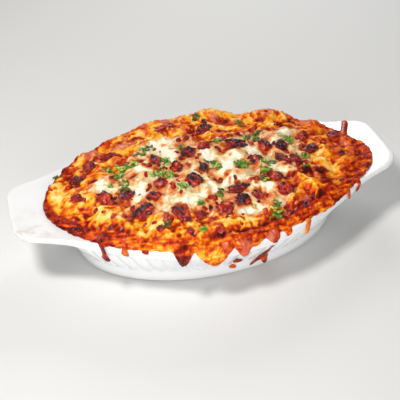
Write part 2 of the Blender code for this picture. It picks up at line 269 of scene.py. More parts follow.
def blur(field, sigma):
    """A Gaussian blur of a map, sigma in millimetres."""
    reach_cells = int(3 * sigma / MAP_STEP) + 1
    kernel = np.exp(-0.5 * (np.arange(-reach_cells, reach_cells + 1) * MAP_STEP / sigma) ** 2)
    kernel /= kernel.sum()
    for axis in (0, 1):
        wide = [(reach_cells, reach_cells) if a == axis else (0, 0) for a in (0, 1)]
        padded = np.pad(field, wide, mode="edge")
        field = np.apply_along_axis(np.convolve, axis, padded, kernel, "valid")
    return field


def sample(field, x, y):
    """A map's value at points, between its cells."""
    u = np.clip((x - MAP_X[0]) / MAP_STEP, 0, len(MAP_X) - 1.001)
    v = np.clip((y - MAP_Y[0]) / MAP_STEP, 0, len(MAP_Y) - 1.001)
    i, j = u.astype(int), v.astype(int)
    fu, fv = u - i, v - j
    return (
        field[i, j] * (1 - fu) * (1 - fv) + field[i + 1, j] * fu * (1 - fv)
        + field[i, j + 1] * (1 - fu) * fv + field[i + 1, j + 1] * fu * fv
    )


def spots(places):
    """The greatest of many smooth spots, each x, y, half length, half width, turn, strength."""
    field = np.zeros_like(X)
    for x, y, length, width, turn, strength in places:
        c, s = math.cos(math.radians(turn)), math.sin(math.radians(turn))
        u, v = ((X - x) * c + (Y - y) * s) / length, ((Y - y) * c - (X - x) * s) / width
        field = np.maximum(field, strength * np.exp(-((u * u + v * v) ** 1.2)))
    return field


BEARING_TABLE = np.linspace(-math.pi, math.pi, 2881)
RIM_TABLE = reach(in_rim, BEARING_TABLE)


def turn_back(bearings):
    return (np.asarray(bearings) + math.pi) % TAU - math.pi


def rim_radius(bearings):
    return np.interp(turn_back(bearings), BEARING_TABLE, RIM_TABLE)


def bump(distance, radius):
    share = np.minimum(1, np.abs(distance) / radius)
    return (1 - share**2) ** 2


MAP_BEARING = np.arctan2(Y, X)
TO_EDGE = cavity_radius(MAP_BEARING) - np.hypot(X, Y)


def heap_rise(x, y):
    """The food's general height above the rim, as in its solid."""
    u = (np.abs(x) / CROWN_SIZE[0]) ** CROWN_POWER + (np.abs(y) / CROWN_SIZE[1]) ** CROWN_POWER
    rise = EDGE_RISE + CROWN_RISE * np.maximum(0, 1 - u)
    for lump_x, lump_y, lump_rise, radius in LUMPS:
        rise = rise + lump_rise * bump(np.hypot(x - lump_x, y - lump_y), radius)
    flat_x, flat_y = np.ravel(x), np.ravel(y)
    uneven = [
        noise.noise(Vector((a / LUMP_SIZE, b / LUMP_SIZE, 3.7))) for a, b in zip(flat_x, flat_y)
    ]
    return np.maximum(LEAST_RISE, rise + LUMP_RISE * 1.6 * np.reshape(uneven, np.shape(x)))


def general_height():
    """heap_rise on every eighth cell, filled in between."""
    step = 8
    coarse = heap_rise(X[::step, ::step], Y[::step, ::step])
    cx, cy = MAP_X[::step], MAP_Y[::step]
    across = np.array([np.interp(MAP_Y, cy, row) for row in coarse])
    return np.array([np.interp(MAP_X, cx, column) for column in across.T]).T


def stamp(height, shade, x, y, turn, half, wide, rise, bend, own):
    """Lays one rounded shred on the maps wherever it stands above what is there."""
    i, j = int((x - MAP_X[0]) / MAP_STEP), int((y - MAP_Y[0]) / MAP_STEP)
    span = int((half + wide) / MAP_STEP) + 2
    cells = slice(max(i - span, 0), i + span), slice(max(j - span, 0), j + span)
    c, s = math.cos(turn), math.sin(turn)
    u = (X[cells] - x) * c + (Y[cells] - y) * s
    v = (Y[cells] - y) * c - (X[cells] - x) * s - bend * u * u
    away = np.hypot(np.maximum(0, np.abs(u) - half), v) / wide
    lump = rise * np.sqrt(np.maximum(0, 1 - away**2))
    above = lump > height[cells]
    height[cells] = np.where(above, lump, height[cells])
    shade[cells] = np.where(above, own, shade[cells])


def scatter(count, seed, halves, wides, rises, bend=0.0):
    """Many shreds, tubes or blisters: their height, and each one's own shade from -1 to 1."""
    rng = np.random.default_rng(seed)
    height, shade = np.zeros_like(X), np.zeros_like(X)
    for _ in range(count):
        x = rng.uniform(-SCATTER_HALF_LENGTH, SCATTER_HALF_LENGTH)
        y = rng.uniform(-SCATTER_HALF_WIDTH, SCATTER_HALF_WIDTH)
        stamp(
            height, shade, x, y, rng.uniform(0, math.pi), rng.uniform(*halves),
            rng.uniform(*wides), rng.uniform(*rises), rng.uniform(-bend, bend), rng.uniform(-1, 1),
        )
    return height, shade


# The browned pieces of meat, as their solids are: x, y, length, width, height, turn, and how
# much of each is charred and how purple its meat is, from 0 to 1.
MEAT = (
    (-16, -24, 15, 13, 8, 20, 0.75, 0.3),
    (-5, -13, 9, 8, 7, 60, 0.95, 0.6),
    (28, 11, 19, 10, 7, -25, 0.95, 0.7),
    (36, -12, 13, 12, 7, 10, 0.75, 0.6),
    (-9, 14, 13, 11, 6, 40, 0.6, 0.8),
    (3, 13, 11, 9, 6, -10, 0.15, 0.1),
    (13, 44, 13, 12, 6, 0, 0.65, 0.6),
    (50, 4, 10, 12, 6, 30, 0.35, 0.1),
    (63, 2, 10, 12, 7, 0, 0.85, 0.5),
    (57, -16, 10, 18, 7, 10, 0.6, 0.8),
    (67, -17, 9, 13, 6, 15, 0.25, 0.2),
    (85, -4, 16, 10, 7, 15, 0.5, 0.5),
    (85, 13, 12, 8, 5, 0, 0.55, 0.3),
    (112, 12, 12, 9, 5, 10, 0.3, 0.9),
    (44, -33, 15, 8, 6, -35, 0.4, 0.2),
    (47, -48, 14, 13, 6, 0, 0.15, 0.0),
    (13, -38, 19, 9, 6, 12, 0.4, 0.2),
    (12, -51, 13, 10, 7, -15, 0.8, 0.4),
    (-2, -54, 14, 13, 5, 30, 0.1, 0.0),
    (25, -48, 8, 10, 5, 10, 0.4, 0.3),
    (-34, -51, 10, 18, 7, 25, 0.6, 0.3),
    (-21, -55, 11, 8, 5, 20, 0.35, 0.3),
    (-40, -17, 12, 9, 6, 0, 0.2, 0.3),
    (-24, -4, 9, 10, 6, 30, 0.8, 0.4),
    (-36, 12, 9, 12, 6, 10, 0.6, 0.9),
    (-82, -18, 12, 12, 6, 30, 0.15, 0.2),
    (-66, -20, 13, 9, 6, 15, 0.5, 0.6),
    (-58, -40, 19, 12, 7, 25, 0.55, 0.3),
    (-48, -29, 12, 10, 6, 40, 0.4, 0.2),
    (-98, 13, 12, 9, 6, 15, 0.75, 0.3),
    (-85, 27, 10, 13, 5, 10, 0.4, 0.8),
    (-68, 36, 14, 11, 5, 0, 0.35, 0.6),
    (-17, 57, 17, 8, 5, 15, 0.15, 0.5),
)
# Smaller bits of meat: x, y, length, width, turn, char, purple.
BITS = (
    (-104, 9, 8, 5, 10, 0.1, 0.1), (-101, -8, 9, 8, 30, 0.15, 0.0), (-97, -12, 5, 4, 0, 0.5, 0.2),
    (-91, 15, 7, 4, 20, 0.2, 0.2), (-77, -24, 6, 5, 40, 0.7, 0.4), (-72, 4, 5, 4, 0, 0.0, 0.0),
    (-61, 32, 7, 6, 0, 0.3, 0.4), (-43, 52, 5, 7, 0, 0.3, 0.5), (-37, -48, 6, 8, 0, 0.2, 0.1),
    (-44, -54, 9, 5, 10, 0.3, 0.2), (-48, -17, 4, 5, 0, 0.1, 0.0), (-48, -5, 3, 6, 0, 0.2, 0.3),
    (-33, 1, 7, 4, 10, 0.2, 0.1), (-42, 6, 4, 6, -20, 0.2, 0.2), (-32, -24, 5, 4, 0, 0.1, 0.1),
    (-17, 7, 5, 5, 0, 0.3, 0.2), (-12, 32, 5, 4, 20, 0.3, 0.3), (-6, 31, 5, 5, 0, 0.3, 0.3),
    (-5, -5, 2.5, 6, 0, 0.6, 0.3), (0, -23, 4, 4, 0, 0.5, 0.3), (3, -26, 5, 4, 0, 0.1, 0.0),
    (8, 22, 11, 5, 10, 0.3, 0.0), (4, 40, 7, 6, 0, 0.3, 0.3), (16, 54, 5, 6, 0, 0.5, 0.7),
    (13, 8, 6, 3, -30, 0.6, 0.8), (26, 23, 9, 3.5, 8, 0.3, 0.1), (36, 28, 6, 5, 30, 0.3, 0.3),
    (28, 37, 5, 4, 0, 0.2, 0.2), (40, 9, 5, 8, 0, 0.3, 0.2), (53, 35, 6, 4, 20, 0.4, 0.3),
    (51, 11, 8, 5, 0, 0.75, 0.3), (74, 36, 10, 4, 0, 0.6, 0.4), (79, -6, 6, 6, 0, 0.1, 0.4),
    (107, -14, 7, 6, 10, 0.3, 0.4), (98, 1, 7, 5, 0, 0.1, 0.0), (96, -44, 8, 6, 20, 0.3, 0.1),
    (66, -25, 5, 4, 0, 0.4, 0.1), (28, -35, 6, 4, 20, 0.5, 0.2), (31, -48, 5, 4, 0, 0.1, 0.0),
    (-8, -44, 8, 6, 0, 0.05, 0.0), (-12, -51, 3.5, 4, 0, 1.0, 0.6), (-32, -67, 6, 5, 0, 0.3, 0.1),
    (-12, -73, 6, 5, 0, 0.3, 0.1), (-70, -46, 7, 4, -20, 0.4, 0.2), (-83, -45, 6, 4, -20, 0.5, 0.2),
    (58, -63, 12, 6, 25, 0.3, 0.9), (40, -68, 8, 5, 15, 0.4, 0.5), (-51, -58, 7, 5, 0, 0.4, 0.3),
    (20, -18, 5, 4, 0, 0.0, 0.0), (29, 56, 6, 5, 0, 0.1, 0.2), (64, -34, 6, 4, -10, 0.4, 0.1),
)

CRUMB_COUNT = 90


def crumb_places():
    """The tiniest crumbs of meat, strewn round the larger ones: x, y, size, char, purple."""
    rng = np.random.default_rng(23)
    places = []
    while len(places) < CRUMB_COUNT:
        x, y, length, width = MEAT[rng.integers(len(MEAT))][:4]
        turn, away = rng.uniform(0, TAU), 0.5 + rng.exponential(0.7)
        x, y = x + length * away * math.cos(turn), y + width * away * math.sin(turn)
        size, char, purple = rng.uniform(1.8, 4.4), rng.uniform(0, 0.2), rng.uniform(0, 0.3)
        if np.hypot(x, y) < 0.9 * cavity_radius(np.arctan2(y, x)):
            places.append((x, y, size, char, purple))
    return places


CRUMBS = crumb_places()

# Mozzarella, thick and still white: x, y, half length, half width, turn, strength.
POOLS = (
    (-27, 16, 8, 13, 0, 1.0), (-80, -6, 5, 10, 0, 1.0), (-58, -20, 8, 8, 0, 1.0),
    (-43, -41, 7, 7, 0, 1.0), (-27, -40, 10, 5, 0, 0.9), (-8, -37, 12, 5, 0, 0.9),
    (3, 6, 8, 10, 0, 1.0), (13, -14, 7, 10, 0, 0.9), (10, -30, 14, 5, 0, 0.9),
    (25, -46, 5, 7, 0, 0.9), (53, -33, 8, 8, 0, 1.0), (35, -42, 8, 4, 0, 0.8),
    (14, -60, 12, 3.5, 0, 1.0), (45, -57, 10, 4, 10, 0.9), (74, 22, 6, 4, 10, 0.8),
    (62, 9, 5, 6, 0, 0.7), (37, 8, 7, 12, 0, 0.7), (46, -14, 8, 10, 0, 0.8),
    (20, 30, 10, 8, 0, 0.7), (-35, 33, 12, 8, 0, 0.6), (-46, 10, 8, 12, 0, 0.6),
    (-50, -10, 8, 8, 0, 0.7), (-28, -62, 8, 4, 0, 0.9), (-20, -28, 8, 6, 0, 0.7),
    (-92, -6, 7, 8, 0, 0.45), (84, -12, 6, 4, 0, 0.5), (22, -4, 7, 6, 0, 0.7),
)
# The region that it covers, thinner between the pools.
VEIL = (
    (-12, -12, 76, 45, 8, 1.0), (40, -4, 48, 38, 0, 1.0), (66, 14, 26, 19, 10, 1.0),
    (-66, -8, 30, 22, 0, 0.95), (-22, 26, 34, 20, 0, 0.9), (18, -50, 42, 16, 3, 0.95),
    (-10, -50, 14, 8, 0, 1.0), (-84, -30, 12, 6, -20, 0.5),
)
# Where orange oil has soaked into it.
OILY = (
    (-72, 4, 5, 7, 0, 0.6), (-57, -2, 5, 10, 0, 0.7), (-24, -34, 6, 4, 0, 0.5),
    (-4, 0, 6, 6, 0, 0.6), (-24, -14, 5, 6, 0, 0.5), (8, -46, 8, 5, 0, 0.4),
    (18, -22, 5, 4, 0, 0.6), (34, 40, 8, 6, 0, 0.7), (62, 17, 6, 5, 0, 0.8),
    (60, 28, 8, 5, 0, 0.6), (50, 24, 6, 6, 0, 0.5), (-6, -62, 8, 4, 0, 0.5),
    (6, -64, 8, 4, 0, 0.7), (34, -60, 6, 5, 0, 0.8), (-44, 24, 8, 6, 0, 0.5),
    (-14, 28, 8, 8, 0, 0.5), (0, 26, 8, 8, 0, 0.7), (2, -12, 6, 6, 0, 0.4),
)
# Where the crust is yellow, not yet browned.
GOLDEN = (
    (-111, 2, 7, 14, 0, 1.15), (-107, -14, 6, 8, 30, 0.95), (-95, 2, 8, 7, 0, 0.7),
    (-92, -14, 10, 7, 0, 1.0), (-84, -33, 11, 5, -20, 1.25), (-72, -38, 8, 5, -10, 1.1),
    (-56, -53, 10, 5, -15, 0.7), (-64, -60, 6, 5, 0, 0.7), (-48, -69, 9, 4, -10, 0.8),
    (-25, -65, 10, 3, 0, 0.6), (-1, -69, 8, 3.5, 0, 0.75), (14, -65, 6, 3.5, 0, 0.7),
    (35, -61, 6, 6, 0, 0.8), (90, -24, 6, 16, 15, 1.0), (98, -17, 7, 5, 0, 0.8),
    (87, -12, 8, 5, 0, 0.8), (68, 39, 10, 4, 15, 0.8), (80, 45, 8, 3.5, 20, 0.7),
    (45, 62, 10, 10, 0, 0.7), (25, 68, 12, 8, 0, 0.8), (2, 72, 8, 10, 0, 0.8),
    (-25, 70, 6, 10, 0, 0.7), (-34, 56, 8, 3, -50, 0.9), (-22, 44, 12, 3, 0, 0.7),
    (-55, 62, 6, 8, 0, 0.6), (-66, 52, 6, 9, 0, 0.6), (-89, 38, 3, 9, -10, 0.7),
    (-48, 36, 8, 6, 0, 0.5), (58, 64, 3, 8, 0, 0.5), (86, 56, 4, 8, 0, 0.6),
    (104, 24, 3, 10, -20, 0.5), (55, -50, 4, 6, 0, 0.6), (30, 46, 8, 5, 0, 0.6),
    (-22, -80, 9, 4, 0, 0.35), (14, -81, 3, 3, 0, 0.7), (-4, -62, 8, 3, 0, 0.6),
)
# Where sauce shows or the crust has browned most.
BROWNED = (
    (-104, 27, 5, 8, 0, 0.8), (-102, -38, 12, 5, -35, 0.55), (-80, -47, 14, 4, -18, 0.5),
    (-106, -26, 5, 5, 0, 0.5), (-72, -62, 9, 4, -25, 0.7), (-60, -67, 6, 3, -15, 0.8),
    (-44, -60, 8, 3, 0, 0.5), (-33, -68, 5, 4, 0, 0.8), (-12, -76, 12, 2.6, 0, 1.1),
    (12, -75, 18, 3, 3, 1.2), (31, -71, 12, 5, 10, 0.95), (50, -63, 14, 6, 25, 0.95),
    (70, -56, 6, 4, 0, 0.6), (83, -44, 5, 8, 0, 0.9), (76, -33, 9, 4, -15, 1.0),
    (64, -34, 5, 4, 0, 0.6), (105, -35, 12, 5, 35, 0.9), (118, -28, 7, 7, 0, 0.8),
    (97, 3, 5, 4, 0, 0.45), (107, -3, 5, 4, 0, 0.5), (74, 33, 9, 4, 0, 0.7),
    (88, 42, 9, 3, 40, 0.6), (52, 66, 3, 8, 0, 0.8), (-20, 51, 8, 3, 0, 0.8),
    (-66, 36, 4, 6, 0, 0.7), (-85, 5, 2.5, 14, -25, 0.5), (2, 40, 6, 7, 0, 0.6),
    (110, 8, 8, 6, 0, 0.5), (94, 10, 5, 8, 0, 0.4), (-43, -72, 6, 5, 0, 0.9),
)
# Thin slices of ham lying in the crust, and pinkish lobes on its near edge.
HAM = (
    (-80, 46, 6, 12, -10, 1.0), (-53, 45, 11, 5, 5, 1.0), (-14, 57, 6, 4, 15, 0.9),
    (-13, 73, 6, 8, 0, 0.8), (26, 60, 4, 6, 0, 0.8), (76, 60, 7, 6, 0, 1.0),
    (70, 49, 6, 2.6, 0, 0.8), (111, 17, 4, 6, -20, 0.9), (-4, 36, 3, 7, 0, 0.8),
    (97, 34, 6, 6, 0, 0.9), (88, 48, 6, 3, 20, 0.8), (-32, 72, 3, 6, 0, 0.7),
    (58, -58, 7, 2.4, 25, 0.8), (10, 70, 3, 8, 0, 0.5), (2, -86, 6, 5, 0, 0.6),
    (23, -83, 7, 4, 0, 0.62), (-12, -83, 4, 4, 0, 0.5),
)
# How far the edge of the crust has baked at each bearing in degrees.
EDGE_BAKING = (
    (-180, 0.79), (-165, 0.77), (-150, 0.69), (-138, 0.58), (-124, 0.53), (-112, 0.50), (-98, 0.51),
    (-90, 0.58), (-76, 0.63), (-60, 0.64), (-45, 0.62), (-30, 0.60), (-14, 0.63), (0, 0.65), (12, 0.60),
    (25, 0.50), (60, 0.41), (100, 0.43), (130, 0.56), (148, 0.67), (160, 0.78), (180, 0.80),
)
# Patches on the lip and below it: bearing, height, half of each one's size in degrees and in
# millimetres, and how much more it has baked.
LIP_PATCHES = (
    (-102.5, 42.5, 3.4, 3.8, -0.26), (-96, 40, 3, 6, 0.20), (-104, 34.5, 9, 2.5, 0.25),
    (-109.5, 44, 3, 3, -0.10), (-118.8, 38, 4.5, 14, 0.36), (-88, 40, 3, 4, 0.12),
    (-84, 44, 3, 3, -0.10), (-80, 46, 2.5, 3, -0.24), (-75, 42, 3, 4, 0.08), (-69, 45, 3, 3, -0.2),
    (-62, 46, 3, 3, -0.16), (-141, 46, 3, 4, -0.12), (-150, 45, 4, 5, 0.12), (-128, 46, 4, 3, -0.2),
    (-123.5, 46, 2, 3, -0.22), (-50, 46, 4, 4, 0.12), (-44, 46, 3, 4, -0.16), (-35, 46, 4, 4, 0.1),
    (-72, 47, 4, 3, 0.16),
)


def edge_baking(bearings):
    degrees, baked = zip(*EDGE_BAKING)
    return np.interp(np.degrees(turn_back(bearings)), degrees, baked)


def lip_patches(bearings, z):
    """What the lip's patches add to its baking."""
    total = 0 * bearings
    for bearing, height, turn, high, change in LIP_PATCHES:
        away = np.hypot((np.degrees(turn_back(bearings)) - bearing) / turn, (z - height) / high)
        total = total + change * np.exp(-(away**2.4))
    return total


def ridge(points, width, rise):
    """A ridge (or a furrow, if rise is negative) along a line of points."""
    field = np.zeros_like(X)
    for (x0, y0), (x1, y1) in zip(points, points[1:]):
        run = np.array([x1 - x0, y1 - y0], float)
        t = np.clip(((X - x0) * run[0] + (Y - y0) * run[1]) / (run @ run), 0, 1)
        away = np.hypot(X - x0 - t * run[0], Y - y0 - t * run[1]) / width
        field = np.maximum(field, np.exp(-(away**2)))
    return rise * field


# The folded crust at the right: its ridge, a smaller curl and the hollow that they go round.
FOLD = ((59, -37), (64, -32.5), (70, -31), (77, -33), (81, -40), (81, -50))
CURL = ((56, -48), (61, -44.5), (67, -47), (69, -54), (66, -61), (59, -65))
HOLLOW = ((62, -54, 5, 6, 0, 1.0),)
# The furrow between the heap and the lip at the front.
FURROW = ((-27, -77), (-10, -76), (14, -74), (30, -71), (44, -66))
# What is scattered over the food, as heights and each one's own shade.
TUBES = scatter(150, 11, (7, 14), (4.5, 6.5), (1.6, 3.4))[0]
SHREDS, SHRED_SHADE = scatter(1500, 12, (3, 12), (0.9, 2.0), (0.5, 1.3), 0.04)
BLISTERS, BLISTER_SHADE = scatter(480, 13, (0, 2), (1.6, 4.2), (0.6, 1.9))
FLECKS, FLECK_SHADE = scatter(1000, 15, (0, 1.6), (1.2, 3.4), (0.8, 1.0))


def oil_round(footprints, margin, strength):
    """Oil that has seeped a margin beyond each footprint: x, y, length, width and turn."""
    return spots([
        (x, y, length / 2 + margin, width / 2 + margin, turn, strength)
        for x, y, length, width, turn in footprints
    ])


def stain_map(zone, pools):
    """How far orange oil has soaked into the cheese: most round the meat, least in the pools."""
    meat = [(x, y, length, width, turn) for x, y, length, width, _, turn, _, _ in MEAT]
    oil = oil_round(meat, 3.5, 0.34) + oil_round(meat, 1, 0.30)
    oil = np.maximum(oil, oil_round([bit[:5] for bit in BITS], 3, 0.40))
    stain = 0.30 + np.maximum(oil, 0.5 * spots(OILY)) - 0.46 * pools
    stain = stain + 0.17 * octaves(X, Y, 7, 23) - 0.10 * SHRED_SHADE * (SHREDS > 0.3)
    stain = stain + 0.80 * FLECKS * np.maximum(0, FLECK_SHADE) + 0.11 * octaves(X, Y, 4, 26, 2)
    return stain + 0.32 * smoothstep(0.75, 0.45, zone) - 0.10 * (SHREDS - 0.45)


def crust_map(ham):
    """The crust's height above the rim, with its tubes, shreds, blisters and folds."""
    inside = smoothstep(0, 9, TO_EDGE)
    crust = (
        general_height() + inside * (0.75 * (TUBES - 1.2) + 0.9 * octaves(X, Y, 9, 31))
        + 1.1 * SHREDS * (1 - 0.6 * ham) + 1.0 * BLISTERS * (1 - ham)
        + ridge(FOLD, 3.0, 3.0) + ridge(FURROW, 2.6, -2.6) + ridge(CURL, 1.8, 2.2)
        - 1.4 * spots(HOLLOW) + 0.7 * ham + 0.20 * octaves(X, Y, 3.0, 61, 2)
    )
    return np.maximum(crust, 1.0)


def baked_map(crust):
    """How far the crust has baked, from 0, yellow, to 1, burnt."""
    baked = 0.53 - 0.29 * spots(GOLDEN) + 0.26 * spots(BROWNED)
    baked = baked + 0.16 * octaves(X, Y, 10, 101) + 0.09 * rough(X, Y, 3.2, 105)
    baked = baked + 0.22 * octaves(0.4 * X, 1.2 * Y, 4.0, 106)
    baked = baked + 0.15 * SHRED_SHADE * (SHREDS > 0.3) - 0.13 * (SHREDS - 0.45)
    baked = baked + 0.17 * BLISTER_SHADE * (BLISTERS > 0.5)
    baked = baked - 0.08 * (crust - blur(crust, 3.0)) + ridge(FOLD, 2.8, 0.26)
    baked = baked - ridge(CURL[1:5], 1.5, 0.10)
    baked = baked + 0.5 * smoothstep(86, 110, X + 5 * rough(X, Y, 20, 91)) * (0.555 - baked)
    edge = 1 - smoothstep(-1.0, 2.2, TO_EDGE + 1.6 * rough(X, Y, 6, 81))
    lip = edge_baking(MAP_BEARING) + 0.08 * rough(X, Y, 3, 121) + 0.20 * octaves(X, Y, 8, 122, 2)
    lip = lip - 0.22 * spots(GOLDEN) + 0.18 * spots(BROWNED)
    return baked + edge * (lip - baked)


def make_maps():
    """All that varies over the food's top: heights above the rim, and how it has baked."""
    pools = spots(POOLS)
    zone = spots(VEIL) + 0.16 * octaves(X, Y, 12, 21) + 0.06 * SHRED_SHADE
    cream = smoothstep(0.40, 0.62, zone) * smoothstep(4, 12, TO_EDGE)
    ham = smoothstep(0.30, 0.50, spots(HAM) + 0.28 * octaves(X, Y, 5, 33, 2))
    crust = crust_map(ham)
    cheese = blur(crust, 1.2) + 0.8 * blur(octaves(X, Y, 11, 71, 2), 1.0) + 0.6 * SHREDS
    cheese = cheese + 0.45 * octaves(X, Y, 4.5, 73, 2) + 0.4 * FLECKS
    return {
        "crust": crust,
        "cheese": cheese + 1.7 * np.sqrt(cream) - 0.9 + 0.9 * pools * cream,
        "cream": cream,
        "stain": np.clip(stain_map(zone, pools), 0, 1),
        "baked": np.clip(baked_map(crust), 0, 1),
        "ham": ham,
    }


MAPS = make_maps()


# --- the way over the lip and down the dish's side ---


def wall_top_radius(bearings):
    """The dish's outer wall where it meets the lip."""
    return np.minimum(rim_radius(bearings) - BAND_STEP, cavity_radius(bearings) + WALL_THICKNESS)


def wall_radius(bearings, z):
    """The dish's outer wall at a height, without its flutes."""
    wall = wall_top_radius(bearings)
    share = np.clip((WALL_TOP - z) / (WALL_TOP - WALL_FOOT), 0, 1)
    return wall + share * (foot_radius(bearings) + 1.0 - wall) + 0.9 * np.sin(math.pi * share)


def over_the_lip(bearings, s, hang=True):
    """Points and outward directions at s from the bowl's edge, over the lip, then straight down
    from its edge or, if not hanging, down the wall."""
    rim, cavity = rim_radius(bearings), cavity_radius(bearings)
    flat = rim - cavity - LIP_ROUND
    arc = LIP_ROUND * math.pi / 2
    rise = ear_rise(rim, bearings) * np.clip(s / flat, 0, 1)
    turn = np.clip((s - flat) / LIP_ROUND, 0, math.pi / 2)
    down = np.maximum(0, s - flat - arc)
    below = np.maximum(0, down - (BAND_HEIGHT - LIP_ROUND)) * (1.0 if hang else 0.9)
    radius = cavity + np.minimum(s, flat) + LIP_ROUND * np.sin(turn)
    z = RIM_HEIGHT + rise - LIP_ROUND * (1 - np.cos(turn))
    z = z - np.minimum(down, BAND_HEIGHT - LIP_ROUND) - below
    if not hang:
        radius = radius + smoothstep(0, 2, below) * (wall_radius(bearings, z) - radius)
    return radius, z, np.sin(turn), np.cos(turn)


def spill(bearings):
    """How far the food reaches from the bowl's edge, ragged, and further at each run."""
    degrees = np.degrees(bearings)
    far = np.full_like(degrees, LIP_COVER)
    for centre, half_width, length in RUNS:
        away = (degrees - centre + 180) % 360 - 180
        far = far + length * bump(away, half_width * 1.8)
    x, y = rim_radius(bearings) * np.cos(bearings), rim_radius(bearings) * np.sin(bearings)
    ragged = 0.9 * octaves(x, y, 7, 131)
    return np.maximum(1.2, far + ragged)


def crust_point(bearings, share):
    """The crust's surface: share runs to 1 at the bowl's edge and to 2 where the spill ends."""
    edge = cavity_radius(bearings)
    edge_x, edge_y = edge * np.cos(bearings), edge * np.sin(bearings)
    inner = np.minimum(share, 1)
    x = HEAP_CENTRE[0] + inner * (edge_x - HEAP_CENTRE[0])
    y = HEAP_CENTRE[1] + inner * (edge_y - HEAP_CENTRE[1])
    top = np.stack([x, y, RIM_HEIGHT + sample(MAPS["crust"], x, y)], axis=-1)
    far = spill(bearings)
    s = np.clip(share - 1, 0, 1) * far
    radius, z, out, up = over_the_lip(bearings, s)
    start = sample(MAPS["crust"], edge_x, edge_y)
    run = 2.4 + 0.9 * rough(radius * np.cos(bearings), z + radius * np.sin(bearings), 7, 141)
    run = run + 1.2 * smoothstep(9, 14, s)
    thick = start + (run - start) * smoothstep(0, 7, s)
    beads = rough(edge_x * 2.2 + s * 1.7, edge_y * 2.2, 5, 151)
    beads = beads + rough(edge_x * 4, edge_y * 4 + s * 3, 5, 152)
    thick = thick + 0.65 * beads * smoothstep(0, 2, s)
    ended = np.clip((far - s) / np.minimum(3.2, far * 0.8), 0, 1)
    thick = np.maximum(0.05, thick * np.sqrt(np.maximum(0, 1 - (1 - ended) ** 2)))
    lip = polar(radius + out * thick, bearings, z + up * thick)
    return np.where((share > 1)[..., None], lip, top)


# --- sheets over a disc ---


def disc_sheet(bm, cells):
    """A square grid drawn out to a disc: its points, and each one's share and bearing."""
    points = bmesh.ops.create_grid(bm, x_segments=cells, y_segments=cells, size=1.0)["verts"]
    a, b = np.array([p.co[:2] for p in points]).T
    wide = np.abs(a) > np.abs(b)
    with np.errstate(divide="ignore", invalid="ignore"):
        turn = np.where(wide, (math.pi / 4) * b / a, math.pi / 2 - (math.pi / 4) * a / b)
    turn = np.nan_to_num(turn)
    share = np.where(wide, a, b)
    turn = np.where(share < 0, turn + math.pi, turn)
    return points, np.abs(share), turn_back(turn)


EVEN = even_bearings(1440)


def spread(turn):
    """Turns evenly spaced round the circle become bearings evenly spaced along the wall."""
    count = len(EVEN)
    return np.interp(turn % TAU, np.arange(count + 1) * TAU / count, np.append(EVEN, TAU))


def coordinates(mesh):
    """A mesh's points in millimetres, one array for each axis."""
    co = np.empty(len(mesh.vertices) * 3)
    mesh.vertices.foreach_get("co", co)
    return co.reshape(-1, 3).T / MM


def mark_baking(obj):
    """Writes how each point has baked, as attributes that the materials read."""
    x, y, z = coordinates(obj.data)
    bearings = np.arctan2(y, x)
    past = smoothstep(-2, 1.5, np.hypot(x, y) - cavity_radius(bearings))
    baked = sample(MAPS["baked"], x, y)
    lip = edge_baking(bearings) + 0.20 * octaves(x + 0.3 * z, y + 1.3 * z, 5, 161)
    lip = lip + 0.18 * octaves(0.4 * x, y + 2.2 * z, 4, 162, 2)
    lip = lip + lip_patches(bearings, z)
    add_attribute(obj.data, "baked", np.clip(baked + (lip - baked) * past, 0, 1))
    for name in ("cream", "stain", "ham"):
        add_attribute(obj.data, name, sample(MAPS[name], x, y) * (1 - past * (name != "ham")))


CRUST_CELLS = 300
LIP_CELLS = 26


def build_crust(material):
    """The baked top out to where its spill ends, closed underneath inside the bowl."""
    bm = bmesh.new()
    layer = bm.verts.layers.float.new("bearing")
    points, share, turn = disc_sheet(bm, CRUST_CELLS)
    bearings = spread(turn)
    half = CRUST_CELLS / 2
    inner = 1 - LIP_CELLS / half
    way = np.where(share <= inner, share / inner, 1 + (share - inner) / (1 - inner))
    place(points, crust_point(bearings, way))
    for point, bearing in zip(points, bearings):
        point[layer] = bearing

    def under(back):
        def ring(b):
            radius, z, out, up = over_the_lip(b, back * spill(b))
            return polar(radius + out * 0.02, b, z + up * 0.02)
        return ring

    edges = [e for e in bm.edges if e.is_boundary]
    for ring in (
        under(0.98), under(0.75), under(0.5), under(0.25), under(0.0),
        lambda b: polar(cavity_radius(b) - 0.4, b, RIM_HEIGHT - 0.5),
        lambda b: polar(cavity_radius(b) - 3.0, b, RIM_HEIGHT - 7.0),
    ):
        edges = grow(bm, edges, layer, ring)
    fill_ends(bm)
    obj = piece("baked_crust", bm, material)
    mark_baking(obj)
    return obj


CHEESE_CELLS = 190
CHEESE_REACH = 0.93  # of the way to the bowl's edge
CHEESE_DEPTH = 3.5


def build_cheese(material):
    """The melted cheese: it shows only where it is thick enough to stand above the crust."""
    bm = bmesh.new()
    points, share, turn = disc_sheet(bm, CHEESE_CELLS)
    bearings = spread(turn)
    edge = cavity_radius(bearings)
    x = HEAP_CENTRE[0] + share * CHEESE_REACH * (edge * np.cos(bearings) - HEAP_CENTRE[0])
    y = HEAP_CENTRE[1] + share * CHEESE_REACH * (edge * np.sin(bearings) - HEAP_CENTRE[1])
    place(points, np.stack([x, y, RIM_HEIGHT + sample(MAPS["cheese"], x, y)], axis=-1))
    made = bmesh.ops.extrude_face_region(bm, geom=bm.faces[:])["geom"]
    for point in (g for g in made if isinstance(g, bmesh.types.BMVert)):
        point.co.z -= CHEESE_DEPTH
    obj = piece("cheese_pool", bm, material)
    mark_baking(obj)
    return obj


# --- toppings ---


def food_top(x, y):
    """The height of crust or cheese, whichever is above, at points."""
    x, y = np.asarray(x), np.asarray(y)
    return RIM_HEIGHT + np.maximum(sample(MAPS["crust"], x, y), sample(MAPS["cheese"], x, y))


